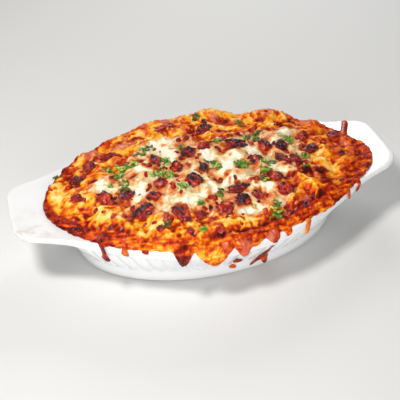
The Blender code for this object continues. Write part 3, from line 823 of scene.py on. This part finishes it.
def meat_lump(bm, layers, x, y, size, turn, look, seed, detail):
    """Adds one lump of meat, a cluster of crumbs sunk a little in what it lies on."""
    length, width, height = size
    char, purple = look
    points = bmesh.ops.create_icosphere(bm, subdivisions=detail, radius=0.5)["verts"]
    shift = Vector((seed * 1.7, seed * 0.31, 0))
    crumb = 3.0 / min(length, width)
    co = np.array([p.co for p in points])
    lobes = np.array([noise.noise(p.co * 3.2 + shift) for p in points])
    grain = np.array([noise.noise(p.co * 11.0 + shift) for p in points])
    cells = [noise.voronoi(p.co / crumb + shift) for p in points]
    cracks = np.array([min(1.0, 3.5 * (away[1] - away[0])) for away, _ in cells])
    own = np.array([noise.noise(middles[0] * 5.3) for _, middles in cells]) * 1.8
    scale = 0.74 + 0.30 * lobes + 0.12 * grain + 0.13 * np.sqrt(cracks) + 0.16 * own
    px, py, pz = (co * scale[:, None]).T
    c, s = math.cos(math.radians(turn)), math.sin(math.radians(turn))
    wx = x + px * length * c - py * width * s
    wy = y + px * length * s + py * width * c
    z = 0.35 * food_top(x, y) + 0.65 * food_top(wx, wy) - 0.5 + np.maximum(-0.12, pz + 0.22) * height
    place(points, np.stack([wx, wy, z], axis=-1))
    up = co[:, 2] * 0.9 + co[:, 1] * 0.4
    burnt = smoothstep(0.0, 0.5, up + char * 0.95 - 0.66 + 0.55 * own + 0.3 * lobes)
    for point, value, tint, deep in zip(points, burnt, np.clip(purple + own, 0, 1), cracks):
        point[layers[0]], point[layers[1]], point[layers[2]] = value, tint, deep


def meat_mesh(name, material, lumps, detail):
    """One mesh of lumps, each x, y, measures, turn, look and seed."""
    bm = bmesh.new()
    layers = [bm.verts.layers.float.new(layer) for layer in ("char", "purple", "depth")]
    for lump in lumps:
        meat_lump(bm, layers, *lump, detail)
    return piece(name, bm, material)


def build_meat(material):
    """A detailed lump for each of the meat's solids."""
    pieces = []
    for number, (x, y, length, width, height, turn, *look) in enumerate(MEAT, start=1):
        lump = (x, y, (length, width, height), turn, look, number)
        obj = meat_mesh(f"browned_meat_{number:02d}", material, [lump], 5)
        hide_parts(f"meat_piece_{number:02d}")
        pieces.append(obj)
    return pieces


def build_bits(material):
    """The bits of meat too small for solids of their own, in one mesh."""
    return meat_mesh("meat_bits", material, [
        (x, y, (length, width, 0.6 * min(length, width) + 1.0), turn, look, number)
        for number, (x, y, length, width, turn, *look) in enumerate(BITS, start=50)
    ], 4)


def build_crumbs(material):
    """The tiniest crumbs of meat, in one mesh."""
    return meat_mesh("meat_crumbs", material, [
        (x, y, (size * 1.5, size, size * 0.5), 40 * number, look, number)
        for number, (x, y, size, *look) in enumerate(CRUMBS, start=150)
    ], 2)


# Chopped parsley: x, y, spread, and how bright it is from 0 to 1.
PARSLEY = (
    (-47, 23, 6, 0.4), (-54, 12, 9, 0.55), (-62, 14, 7, 0.6), (-73, 16, 6, 0.5), (-66, 4, 9, 0.45),
    (-63, -6, 6, 0.45), (-65, -14, 7, 0.4), (-76, -7, 5, 0.7), (-38, -7, 13, 0.75),
    (-31, -13, 9, 0.6), (-32, 8, 8, 0.6), (-27, -29, 8, 0.8), (-40, 28, 6, 0.2), (-112, 25, 4, 0.5),
    (5, -6, 9, 0.5), (8, -12, 5, 0.4), (16, 21, 7, 0.5), (11, 61, 6, 0.25), (44, 47, 8, 0.2),
    (47, 14, 7, 0.35), (51, 26, 6, 0.3), (40, 20, 6, 0.45), (26, -16, 9, 0.35), (22, -13, 5, 0.3),
    (41, -17, 9, 0.6), (38, -27, 9, 0.4), (47, -18, 5, 0.35), (71, 6, 10, 0.5), (70, -15, 6, 0.7),
    (76, -14, 5, 0.7), (73, -25, 6, 0.35), (34, -62, 8, 0.45), (31, -71, 6, 0.3), (-1, -43, 6, 0.3),
    (-18, -47, 6, 0.6), (-24, -70, 6, 0.4), (-46, -57, 6, 0.4), (33, -36, 5, 0.4), (-14, 21, 5, 0.25),
)


def leaflet(bm, layer, where, size, turn, tilt, bright):
    """One torn flake of leaf: a lobed star, curled, with a little thickness."""
    edge = bmesh.ops.create_circle(bm, segments=12, radius=1.0, cap_ends=True, cap_tris=True)
    turned = Matrix.Rotation(turn, 3, "Z") @ Matrix.Rotation(tilt, 3, "X")
    for k, point in enumerate(edge["verts"]):
        co = point.co.copy()
        if co.length > 0.5:
            co *= 0.62 + 0.38 * abs(math.cos(1.5 * math.atan2(co.y, co.x)))
            co *= 1.12 if k % 2 else 0.86
        co = Vector((co.x * size * 0.55, co.y * size * 0.28, 0.0))
        co.z = 0.10 * co.x * co.x - 0.16 * co.y * co.y + 0.12 * size
        point.co = turned @ co + Vector(where)
        point[layer] = bright


def build_parsley(material):
    """Every flake of parsley, in one mesh."""
    rng = np.random.default_rng(17)
    bm = bmesh.new()
    layer = bm.verts.layers.float.new("bright")
    for x, y, spread_size, bright in PARSLEY:
        for _ in range(int(spread_size * 1.7)):
            px, py = x + rng.normal(0, spread_size * 0.26), y + rng.normal(0, spread_size * 0.26)
            z = food_top(px, py) + rng.uniform(0.1, 1.8)
            leaflet(
                bm, layer, (px, py, z), rng.uniform(2.0, 5.6), rng.uniform(0, TAU),
                rng.uniform(-0.9, 0.9), np.clip(bright + rng.normal(0, 0.32), 0, 1),
            )
    bmesh.ops.recalc_face_normals(bm, faces=bm.faces[:])
    bmesh.ops.solidify(bm, geom=bm.faces[:], thickness=0.28)
    return piece("parsley_flakes", bm, material)


# Drips: bearing, its change on the way down, start and length beyond the bowl's edge, half
# width at the top, in the middle and at the end, baked, and whether it hangs from the lip.
DRIPS = (
    (-150.4, 1.9, 4.2, 18.0, 5.8, 2.1, 4.7, 0.74, True),
    (-141.6, 0.0, 3.0, 10.6, 2.8, 2.5, 3.9, 0.56, True),
    (-133.4, 0.0, 3.0, 6.5, 3.0, 2.4, 3.0, 0.78, True),
    (-65.6, 0.2, 4.0, 7.5, 2.6, 2.2, 2.2, 0.44, True),
    (-53.2, -1.2, 3.0, 16.0, 2.8, 2.9, 3.1, 0.50, True),
    (-71.0, -0.4, 22.0, 27.0, 1.2, 2.4, 2.0, 0.72, False),
    (-70.5, -7.4, 45.5, 5.5, 2.0, 1.4, 0.9, 0.74, False),
    (-69.9, 3.2, 36.0, 18.5, 2.0, 3.6, 2.2, 0.66, False),
    (-89.2, 0.0, 29.5, 5.6, 1.4, 3.6, 1.8, 0.68, False),
    (-89.6, -0.6, 44.6, 4.2, 1.2, 2.8, 1.3, 0.52, False),
    (-28.8, 1.5, 4.0, 14.0, 3.4, 2.6, 2.4, 0.62, True),
    (-20.8, -3.0, 5.0, 13.5, 3.4, 2.8, 2.4, 0.66, True),
    (7.6, 6.9, 6.0, 19.5, 3.6, 2.7, 3.0, 0.72, True),
)
DRIP_SIDES = 14


def drip_centre(drip, share):
    """A point of a drip's path, and which way is out from the dish there."""
    bearing, change, start, length, hangs = (*drip[:4], drip[8])
    turn = np.radians([bearing + change * share])
    way = over_the_lip(turn, np.array([start + length * share]), hangs)
    radius, z, out, up = (float(value[0]) for value in way)
    c, s = math.cos(turn[0]), math.sin(turn[0])
    return np.array([radius * c, radius * s, z]), np.array([out * c, out * s, up])


def drip_ring(drip, share):
    """A ring round a drip at a share of its length: a flattened circle lying on the dish."""
    top, middle, end = drip[4:7]
    centre, outward = drip_centre(drip, share)
    onward = drip_centre(drip, share + 0.02)[0] - centre
    across = np.cross(onward, outward)
    across = across / np.linalg.norm(across)
    half = np.interp(
        share, (0, 0.18, 0.36, 0.65, 0.86, 0.95, 1.0),
        (top, 0.85 * top, middle, middle, end, 0.75 * end, 0.2 * end),
    )
    half = half * (1 + 0.15 * float(rough(np.array(centre[0]), np.array(centre[2] * 2), 5, 181)))
    high = min(0.42 * half, 1.1 if drip[8] else 1.9)

    def ring(sides):
        wide = half * np.cos(sides)[:, None] * across
        return centre + wide + high * (np.sin(sides)[:, None] + 0.2) * outward
    return ring


def build_drips(material):
    """Every thin run of sauce on the dish, in one mesh."""
    bm = bmesh.new()
    layer = bm.verts.layers.float.new("side")
    sides = np.arange(DRIP_SIDES) * TAU / DRIP_SIDES
    browning = []
    for drip in DRIPS:
        loop = bmesh.ops.create_circle(bm, segments=DRIP_SIDES, radius=1.0)["verts"]
        for point, side in zip(loop, sides):
            point[layer] = side
        place(loop, drip_ring(drip, 0.0)(sides))
        edges = list({e for point in loop for e in point.link_edges})
        for share in np.linspace(0, 1, max(10, int(drip[3] / 0.8)))[1:]:
            edges = grow(bm, edges, layer, drip_ring(drip, share))
        browning += [drip[7]] * (len(bm.verts) - len(browning))
    fill_ends(bm)
    obj = piece("sauce_drips", bm, material)
    x, y, z = coordinates(obj.data)
    baked = np.array(browning) + 0.14 * octaves(x + 0.5 * z, y + z, 5, 171)
    add_attribute(obj.data, "baked", np.clip(baked, 0, 1))
    return obj


# --- the dish ---


def flute(bearings):
    """0 on a flute's crest and 1 in the sharp groove beside it."""
    count = len(EVEN)
    along = np.interp(np.asarray(bearings) % TAU, np.append(EVEN, TAU), np.arange(count + 1) / count)
    return 1 - np.abs(np.sin(math.pi * along * FLUTES)) ** 0.5


def dish_ring(kind, share):
    """One ring of the dish, as a function of the bearing."""
    turn = share * math.pi / 2

    def ring(b):
        rim, cavity, foot = rim_radius(b), cavity_radius(b), foot_radius(b)
        rise = ear_rise(rim, b)
        thick = BAND_HEIGHT + (EAR_THICKNESS - BAND_HEIGHT) * smoothstep(8, 16, rim - cavity)
        if kind == "bowl":
            floor = foot - 9.0
            radius, z = floor + share * (cavity - 1.6 - floor), 7.0 + (RIM_HEIGHT - 10.0) * share**2.2
        elif kind == "inner_edge":
            radius, z = cavity - 1.2 * np.cos(turn) + 0.2, RIM_HEIGHT - 1.4 * (1 - np.sin(turn))
        elif kind == "lip":
            radius = cavity + 0.2 + share * (rim - LIP_ROUND - cavity - 0.2)
            hollow = 0.5 * smoothstep(8, 20, rim - cavity) * np.sin(math.pi * share)
            z = RIM_HEIGHT + rise * share - hollow
        elif kind == "lip_edge":
            radius = rim - LIP_ROUND * (1 - np.sin(turn))
            z = RIM_HEIGHT + rise - LIP_ROUND * (1 - np.cos(turn))
        elif kind == "band":
            radius = rim - 0.3 * share
            z = RIM_HEIGHT + rise - LIP_ROUND - share * (thick - LIP_ROUND - 1.0)
        elif kind == "band_foot":
            radius = rim - 0.3 - 1.0 * (1 - np.cos(turn))
            z = RIM_HEIGHT + rise - thick + 1.0 - np.sin(turn)
        elif kind == "under_ear":
            radius = rim - 1.3 + share * (wall_top_radius(b) - rim + 1.3)
            z = RIM_HEIGHT + rise * (1 - share) - thick - 0.6 * share
        elif kind == "wall":
            fade = smoothstep(0, 0.2, share) * smoothstep(1.02, 0.93, share)
            z = WALL_TOP + share * (WALL_FOOT - WALL_TOP)
            radius = wall_radius(b, z) - GROOVE_DEPTH * fade * flute(b) * (1 - 0.25 * share)
        elif kind == "foot":
            radius, z = foot + 0.4 * (1 - share), FOOT_HEIGHT * (1 - share) + 1.2 * share
        elif kind == "foot_edge":
            radius, z = foot - 1.6 * np.sin(turn), 1.2 * (1 - np.sin(turn)) * np.cos(turn)
        elif kind == "foot_ring":
            radius, z = foot - 2.0 - share * (FOOT_RING - 2.0), 0.0
        else:
            radius, z = foot - FOOT_RING - 1.5 - 1.0 * share, FOOT_RECESS
        return polar(radius, b, z + 0 * b)
    return ring


def build_dish(material):
    """The glazed dish: bowl, lip with its two ears, plain band, flutes and foot."""
    def steps(kind, shares):
        return [dish_ring(kind, k) for k in shares]

    thirds = (0.33, 0.67, 1.0)
    quarters = (0.25, 0.5, 0.75, 1.0)
    rings = (
        steps("bowl", (0, 0.5, 0.8, 0.95)) + steps("inner_edge", (0, 0.35, 0.7, 1.0))
        + steps("lip", (0.15, 0.3, 0.45, 0.6, 0.75, 0.9, 1.0)) + steps("lip_edge", quarters)
        + steps("band", thirds) + steps("band_foot", (0.4, 1.0))
        + steps("under_ear", (0.25, 0.5, 0.75, 0.95)) + steps("wall", np.linspace(0, 1, 19))
        + steps("foot", (0, 0.12, 0.5, 1.0)) + steps("foot_edge", thirds)
        + steps("foot_ring", (0, 1.0)) + steps("recess", (0, 1.0))
    )
    bm = bmesh.new()
    loft(bm, even_bearings(DISH_COLUMNS), rings)
    fill_ends(bm)
    return piece("glazed_dish", bm, material, smooth=50)


# --- materials ---


def new_material(name):
    """A material, its node tree and its Principled shader."""
    made = bpy.data.materials.new(name)
    made.use_nodes = True
    return made, made.node_tree, made.node_tree.nodes["Principled BSDF"]


def feed(tree, socket, value):
    """Links a socket into another, or sets a number or a colour on it."""
    if isinstance(value, bpy.types.NodeSocket):
        tree.links.new(value, socket)
    else:
        socket.default_value = value


def node(tree, kind, inputs=None, **settings):
    """Adds a node, with its settings and with what goes into it."""
    made = tree.nodes.new(kind)
    for key, value in settings.items():
        setattr(made, key, value)
    for key, value in (inputs or {}).items():
        feed(tree, made.inputs[key], value)
    return made


def ramp(tree, value, stops):
    made = node(tree, "ShaderNodeValToRGB", {0: value})
    elements = made.color_ramp.elements
    while len(elements) < len(stops):
        elements.new(0.5)
    for element, (at, colour) in zip(elements, stops):
        element.position = at
        element.color = (*colour, 1)
    return made.outputs[0]


def maths(tree, operation, a, b, clamp=False):
    made = node(tree, "ShaderNodeMath", {0: a, 1: b}, operation=operation, use_clamp=clamp)
    return made.outputs[0]


def between(tree, value, low, high, to_low=0.0, to_high=1.0):
    """Carries a value from one range to another, held at its ends."""
    return node(tree, "ShaderNodeMapRange", {
        "Value": value, "From Min": low, "From Max": high, "To Min": to_low, "To Max": to_high,
    }).outputs[0]


def noise_value(tree, coords, scale, detail=3.0, roughness=0.55, distortion=0.0):
    return node(tree, "ShaderNodeTexNoise", {
        "Vector": coords, "Scale": scale, "Detail": detail, "Roughness": roughness,
        "Distortion": distortion,
    }).outputs["Fac"]


def mix_colour(tree, factor, a, b):
    a, b = (value if isinstance(value, bpy.types.NodeSocket) else (*value, 1) for value in (a, b))
    made = node(tree, "ShaderNodeMix", {0: factor, 6: a, 7: b}, data_type="RGBA", clamp_factor=True)
    return made.outputs[2]


def object_coords(tree):
    return node(tree, "ShaderNodeTexCoord").outputs["Object"]


def attribute(tree, name):
    return node(tree, "ShaderNodeAttribute", attribute_name=name).outputs["Fac"]


def bump_normal(tree, height, strength, distance):
    return node(tree, "ShaderNodeBump", {
        "Height": height, "Strength": strength, "Distance": distance,
    }).outputs["Normal"]


def finish(tree, shader, colour, roughness, normal, specular, coat, coat_roughness):
    """Links what varies over a surface to its shader, and sets what doesn't."""
    tree.links.new(colour, shader.inputs["Base Color"])
    tree.links.new(roughness, shader.inputs["Roughness"])
    tree.links.new(normal, shader.inputs["Normal"])
    shader.inputs["Specular IOR Level"].default_value = specular
    shader.inputs["Coat Weight"].default_value = coat
    shader.inputs["Coat Roughness"].default_value = coat_roughness


def node_group(name, inputs, outputs):
    """An empty shader node group: its tree, what comes into it and what it puts out."""
    tree = bpy.data.node_groups.new(name, "ShaderNodeTree")
    for in_out, sockets in (("INPUT", inputs), ("OUTPUT", outputs)):
        for label, kind in sockets.items():
            tree.interface.new_socket(label, in_out=in_out, socket_type=f"NodeSocket{kind}")
    return tree, tree.nodes.new("NodeGroupInput").outputs, tree.nodes.new("NodeGroupOutput").inputs


def mottling_group():
    """Breaks up a value with fine grain and broader blotches."""
    tree, given, put = node_group(
        "mottling",
        {"Vector": "Vector", "Value": "Float", "Grain": "Float", "Blotches": "Float"},
        {"Value": "Float", "Fine": "Float", "Broad": "Float"},
    )
    fine = noise_value(tree, given["Vector"], 480, 3, 0.55)
    broad = noise_value(tree, given["Vector"], 165, 3, 0.55, 0.9)
    grain = maths(tree, "MULTIPLY", maths(tree, "SUBTRACT", fine, 0.5), given["Grain"])
    blotches = maths(tree, "MULTIPLY", maths(tree, "SUBTRACT", broad, 0.5), given["Blotches"])
    value = maths(tree, "ADD", given["Value"], maths(tree, "ADD", grain, blotches), clamp=True)
    tree.links.new(value, put["Value"])
    tree.links.new(fine, put["Fine"])
    tree.links.new(broad, put["Broad"])
    return tree


def mottled(tree, mottling, coords, value, grain, blotches):
    """Places the mottling group and returns its outputs."""
    made = node(tree, "ShaderNodeGroup", node_tree=mottling)
    for key, given in (("Vector", coords), ("Value", value), ("Grain", grain), ("Blotches", blotches)):
        feed(tree, made.inputs[key], given)
    return made.outputs


# Colours from least baked to burnt.
BAKING = (
    (0.00, (0.94, 0.68, 0.30)),
    (0.16, (0.90, 0.54, 0.12)),
    (0.31, (0.92, 0.415, 0.019)),
    (0.44, (0.79, 0.20, 0.008)),
    (0.57, (0.60, 0.068, 0.005)),
    (0.70, (0.34, 0.016, 0.003)),
    (0.84, (0.13, 0.008, 0.004)),
    (1.00, (0.045, 0.006, 0.005)),
)
# Colours of the melted cheese, from white to soaked with oil.
SOAKING = (
    (0.00, (0.97, 0.87, 0.73)),
    (0.15, (0.91, 0.78, 0.54)),
    (0.30, (0.70, 0.58, 0.31)),
    (0.42, (0.78, 0.46, 0.20)),
    (0.57, (0.74, 0.26, 0.08)),
    (0.76, (0.54, 0.11, 0.025)),
    (1.00, (0.30, 0.030, 0.008)),
)
# Colours of the ham, from its darkest to its palest.
SLICES = (
    (0.30, (0.36, 0.035, 0.018)),
    (0.48, (0.58, 0.100, 0.055)),
    (0.68, (0.74, 0.250, 0.150)),
)


def baked_skin_group(mottling):
    """The food's surface: baked crust, slices of ham in it and melted cheese over it."""
    tree, given, put = node_group(
        "baked_skin",
        {"Vector": "Vector", "Baked": "Float", "Cream": "Float", "Stain": "Float", "Ham": "Float"},
        {"Colour": "Color", "Roughness": "Float", "Height": "Float"},
    )
    coords = given["Vector"]
    crust = mottled(tree, mottling, coords, given["Baked"], 0.30, 0.50)
    soaked = mottled(tree, mottling, coords, given["Stain"], 0.60, 0.70)
    browned = ramp(tree, crust["Value"], BAKING)
    ham = ramp(tree, crust["Broad"], SLICES)
    shown = maths(tree, "MULTIPLY", given["Ham"], between(tree, crust["Fine"], 0.28, 0.42))
    below = mix_colour(tree, maths(tree, "MULTIPLY", shown, 0.85), browned, ham)
    cream = maths(tree, "ADD", given["Cream"], maths(
        tree, "MULTIPLY", maths(tree, "SUBTRACT", crust["Fine"], 0.5), 1.1))
    melted = ramp(tree, soaked["Value"], SOAKING)
    colour = mix_colour(tree, between(tree, cream, 0.3, 0.6), below, melted)
    tree.links.new(colour, put["Colour"])
    tree.links.new(between(tree, crust["Broad"], 0.35, 0.65, 0.22, 0.42), put["Roughness"])
    tree.links.new(maths(tree, "ADD", crust["Fine"], crust["Broad"]), put["Height"])
    return tree


def skin_outputs(tree, skin, coords, **amounts):
    """Places the baked skin group; what isn't given is read from the mesh's attributes."""
    made = node(tree, "ShaderNodeGroup", {"Vector": coords}, node_tree=skin)
    for name in ("Baked", "Cream", "Stain", "Ham"):
        given = amounts[name] if name in amounts else attribute(tree, name.lower())
        feed(tree, made.inputs[name], given)
    return made.outputs


def skin_material(name, skin, relief, gloss, **amounts):
    """A material of baked skin: its bump's strength and distance, then what finish sets."""
    made, tree, shader = new_material(name)
    out = skin_outputs(tree, skin, object_coords(tree), **amounts)
    normal = bump_normal(tree, out["Height"], *relief)
    finish(tree, shader, out["Colour"], out["Roughness"], normal, *gloss)
    return made


def crust_material(skin):
    """Baked cheese and sauce: yellow where least baked, red-brown and dark where most."""
    return skin_material("baked_crust_look", skin, (0.35, 0.0006), (0.06, 0.16, 0.08))


def cheese_material(skin):
    """Melted mozzarella: white where thick, taking up orange oil round the meat."""
    return skin_material("melted_cheese_look", skin, (0.30, 0.0005), (0.10, 0.16, 0.10))


def drip_material(skin):
    """Sauce and fat that ran down and dried: glossier than the crust."""
    return skin_material(
        "dried_drips_look", skin, (0.25, 0.0004), (0.08, 0.25, 0.08), Cream=0.0, Stain=0.0, Ham=0.0)


def meat_material(mottling):
    """Crumbs of browned meat: purple-brown to red, some charred, with painted shade in the cracks
    between them.
    """
    made, tree, shader = new_material("browned_meat_look")
    grain = mottled(tree, mottling, object_coords(tree), attribute(tree, "char"), 1.0, 0.6)
    red = ramp(tree, grain["Broad"], (
        (0.32, (0.13, 0.004, 0.003)), (0.46, (0.33, 0.009, 0.003)),
        (0.58, (0.56, 0.034, 0.009)), (0.70, (0.80, 0.22, 0.08))))
    purple = ramp(tree, grain["Broad"], (
        (0.32, (0.075, 0.005, 0.012)), (0.50, (0.22, 0.012, 0.024)), (0.66, (0.50, 0.10, 0.10))))
    meat = mix_colour(tree, attribute(tree, "purple"), red, purple)
    # Painted shade: the colour darkens towards the cracks where the crumbs meet.
    cracks = between(tree, attribute(tree, "depth"), 0.0, 0.5, 0.5, 0.0)
    meat = mix_colour(tree, cracks, meat, (0.10, 0.008, 0.004))
    char = ramp(tree, grain["Fine"], (
        (0.35, (0.014, 0.004, 0.007)), (0.55, (0.045, 0.012, 0.020)), (0.72, (0.15, 0.060, 0.075))))
    colour = mix_colour(tree, between(tree, grain["Value"], 0.25, 0.75), meat, char)
    rough_value = between(tree, grain["Fine"], 0.3, 0.7, 0.16, 0.42)
    normal = bump_normal(tree, grain["Fine"], 0.8, 0.0008)
    finish(tree, shader, colour, rough_value, normal, 0.06, 0.42, 0.05)
    return made


def parsley_material(mottling):
    """Chopped parsley: bright green on the fresher flakes, duller on those that have baked."""
    made, tree, shader = new_material("parsley_look")
    grain = mottled(tree, mottling, object_coords(tree), attribute(tree, "bright"), 0.6, 0.5)
    colour = ramp(tree, grain["Value"], (
        (0.00, (0.100, 0.090, 0.022)), (0.30, (0.065, 0.145, 0.014)),
        (0.55, (0.105, 0.320, 0.018)), (0.80, (0.26, 0.52, 0.045)), (1.00, (0.50, 0.66, 0.16))))
    rough_value = between(tree, grain["Fine"], 0.3, 0.7, 0.35, 0.6)
    normal = bump_normal(tree, grain["Fine"], 0.4, 0.0003)
    finish(tree, shader, colour, rough_value, normal, 0.3, 0.05, 0.2)
    return made


# Brown bloom baked on the glaze: x, y and z in millimetres, radius and strength.
BLOOM = (
    (-137, -24, 49, 9, 0.35),
    (-128, -30, 48, 7, 0.2),
    (-145, -28, 47, 4, 0.8),
    (-140, -4, 49, 8, 0.12),
    (131, 24, 48, 6, 0.35),
    (136, 6, 49, 7, 0.15),
    (-131, -22, 49, 16, 0.15),
)
# Dark specks on it: x, y, z and radius.
SPECKS = (
    (140.1, -19.4, 49.2, 1.1), (135.3, -24.6, 49.0, 0.7), (137.3, -12.8, 49.2, 0.6), (-139, 13, 49, 0.8),
)


def near_point(tree, coords, point, inner, outer, strength):
    """A spot round a point: full strength inside one radius, fading to nothing at the other."""
    place_in_metres = tuple(value * MM for value in point)
    away = node(tree, "ShaderNodeVectorMath", {0: coords, 1: place_in_metres}, operation="DISTANCE")
    return between(tree, away.outputs["Value"], inner * MM, outer * MM, strength, 0.0)


def glaze_material():
    """White glaze, faintly uneven, with brown bloom and a few dark specks on the ears."""
    made, tree, shader = new_material("white_glaze_look")
    coords = object_coords(tree)
    cloud = noise_value(tree, coords, 18, 3)
    specks = noise_value(tree, coords, 260, 2)
    stains = noise_value(tree, coords, 120, 4, 0.6)
    colour = mix_colour(tree, cloud, (0.78, 0.79, 0.81), (0.85, 0.85, 0.84))
    for *point, radius, strength in BLOOM:
        near = near_point(tree, coords, point, 0.0, 1.6 * radius, strength)
        worn = maths(tree, "MULTIPLY", near, between(tree, stains, 0.42, 0.62), clamp=True)
        colour = mix_colour(tree, worn, colour, (0.42, 0.27, 0.11))
    for *point, radius in SPECKS:
        near = near_point(tree, coords, point, 0.3 * radius, 1.6 * radius, 0.75)
        colour = mix_colour(tree, near, colour, (0.20, 0.07, 0.13))
    colour = mix_colour(tree, between(tree, specks, 0.74, 0.80, 0.0, 0.6), colour, (0.30, 0.20, 0.14))
    roughness = between(tree, cloud, 0.0, 1.0, 0.12, 0.3)
    finish(tree, shader, colour, roughness, bump_normal(tree, cloud, 0.15, 0.001), 0.5, 0.4, 0.06)
    return made


# --- floor, lights and camera ---


FLOOR_GAP = 0.0004
FLOOR_HALF_LENGTH = 3.0


def build_floor():
    bm = bmesh.new()
    bmesh.ops.create_grid(bm, x_segments=1, y_segments=1, size=FLOOR_HALF_LENGTH)
    mesh = bpy.data.meshes.new("floor")
    bm.to_mesh(mesh)
    bm.free()
    made, _, shader = new_material("pale_floor")
    shader.inputs["Base Color"].default_value = (0.72, 0.72, 0.71, 1)
    shader.inputs["Roughness"].default_value = 0.85
    mesh.materials.append(made)
    floor = bpy.data.objects.new("floor", mesh)
    bpy.context.scene.collection.objects.link(floor)
    floor.location.z = -FLOOR_GAP


def add_light(name, where, size, power, colour=(1, 1, 1), aim=(0, 0, 0.04)):
    data = bpy.data.lights.new(name, "AREA")
    data.size, data.energy, data.color = size, power, colour
    light = bpy.data.objects.new(name, data)
    light.location = where
    light.rotation_euler = (Vector(aim) - Vector(where)).to_track_quat("-Z", "Y").to_euler()
    bpy.context.scene.collection.objects.link(light)


def light_scene():
    add_light("key", (-0.35, -0.15, 0.75), 0.15, 4.7, (1.0, 0.98, 0.95))
    add_light("back", (0.3, 0.7, 0.55), 0.3, 2.6)
    add_light("front", (-0.25, -0.85, 0.24), 0.5, 5.0, aim=(0, 0, 0.02))
    world = bpy.data.worlds.new("room")
    world.use_nodes = True
    background = world.node_tree.nodes["Background"]
    background.inputs["Color"].default_value = (1, 1, 1, 1)
    background.inputs["Strength"].default_value = 0.22
    bpy.context.scene.world = world
    bpy.context.scene.view_settings.view_transform = "Standard"


CAMERA_TURN = math.radians(16.26)
CAMERA_HEIGHT = math.radians(38.87)
CAMERA_ROLL = math.radians(-1.362)
CAMERA_DISTANCE = 0.586
CAMERA_TARGET = Vector((-0.01273, -0.02689, 0.0458))
CAMERA_LENS = 70.8


def add_camera():
    back = Vector((
        -math.sin(CAMERA_TURN) * math.cos(CAMERA_HEIGHT),
        -math.cos(CAMERA_TURN) * math.cos(CAMERA_HEIGHT),
        math.sin(CAMERA_HEIGHT),
    ))
    right = (-back).cross(Vector((0, 0, 1))).normalized()
    up = right.cross(-back)
    c, s = math.cos(CAMERA_ROLL), math.sin(CAMERA_ROLL)
    across, above = right * c + up * s, up * c - right * s
    data = bpy.data.cameras.new("camera")
    data.lens, data.sensor_width, data.clip_start = CAMERA_LENS, 36.0, 0.01
    camera = bpy.data.objects.new("camera", data)
    turned = Matrix((across, above, back)).transposed().to_4x4()
    camera.matrix_world = Matrix.Translation(CAMERA_TARGET + back * CAMERA_DISTANCE) @ turned
    bpy.context.scene.collection.objects.link(camera)
    bpy.context.scene.camera = camera


def main():
    mottling = mottling_group()
    skin = baked_skin_group(mottling)
    dish = build_dish(glaze_material())
    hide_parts("gratin_dish")
    crust = build_crust(crust_material(skin))
    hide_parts("pasta_bake")
    cheese = build_cheese(cheese_material(skin))
    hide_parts("melted_cheese")
    drips = build_drips(drip_material(skin))
    meat_look = meat_material(mottling)
    for meat in (*build_meat(meat_look), build_bits(meat_look), build_crumbs(meat_look)):
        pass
    parsley = build_parsley(parsley_material(mottling))
    build_floor()
    light_scene()
    add_camera()


main()
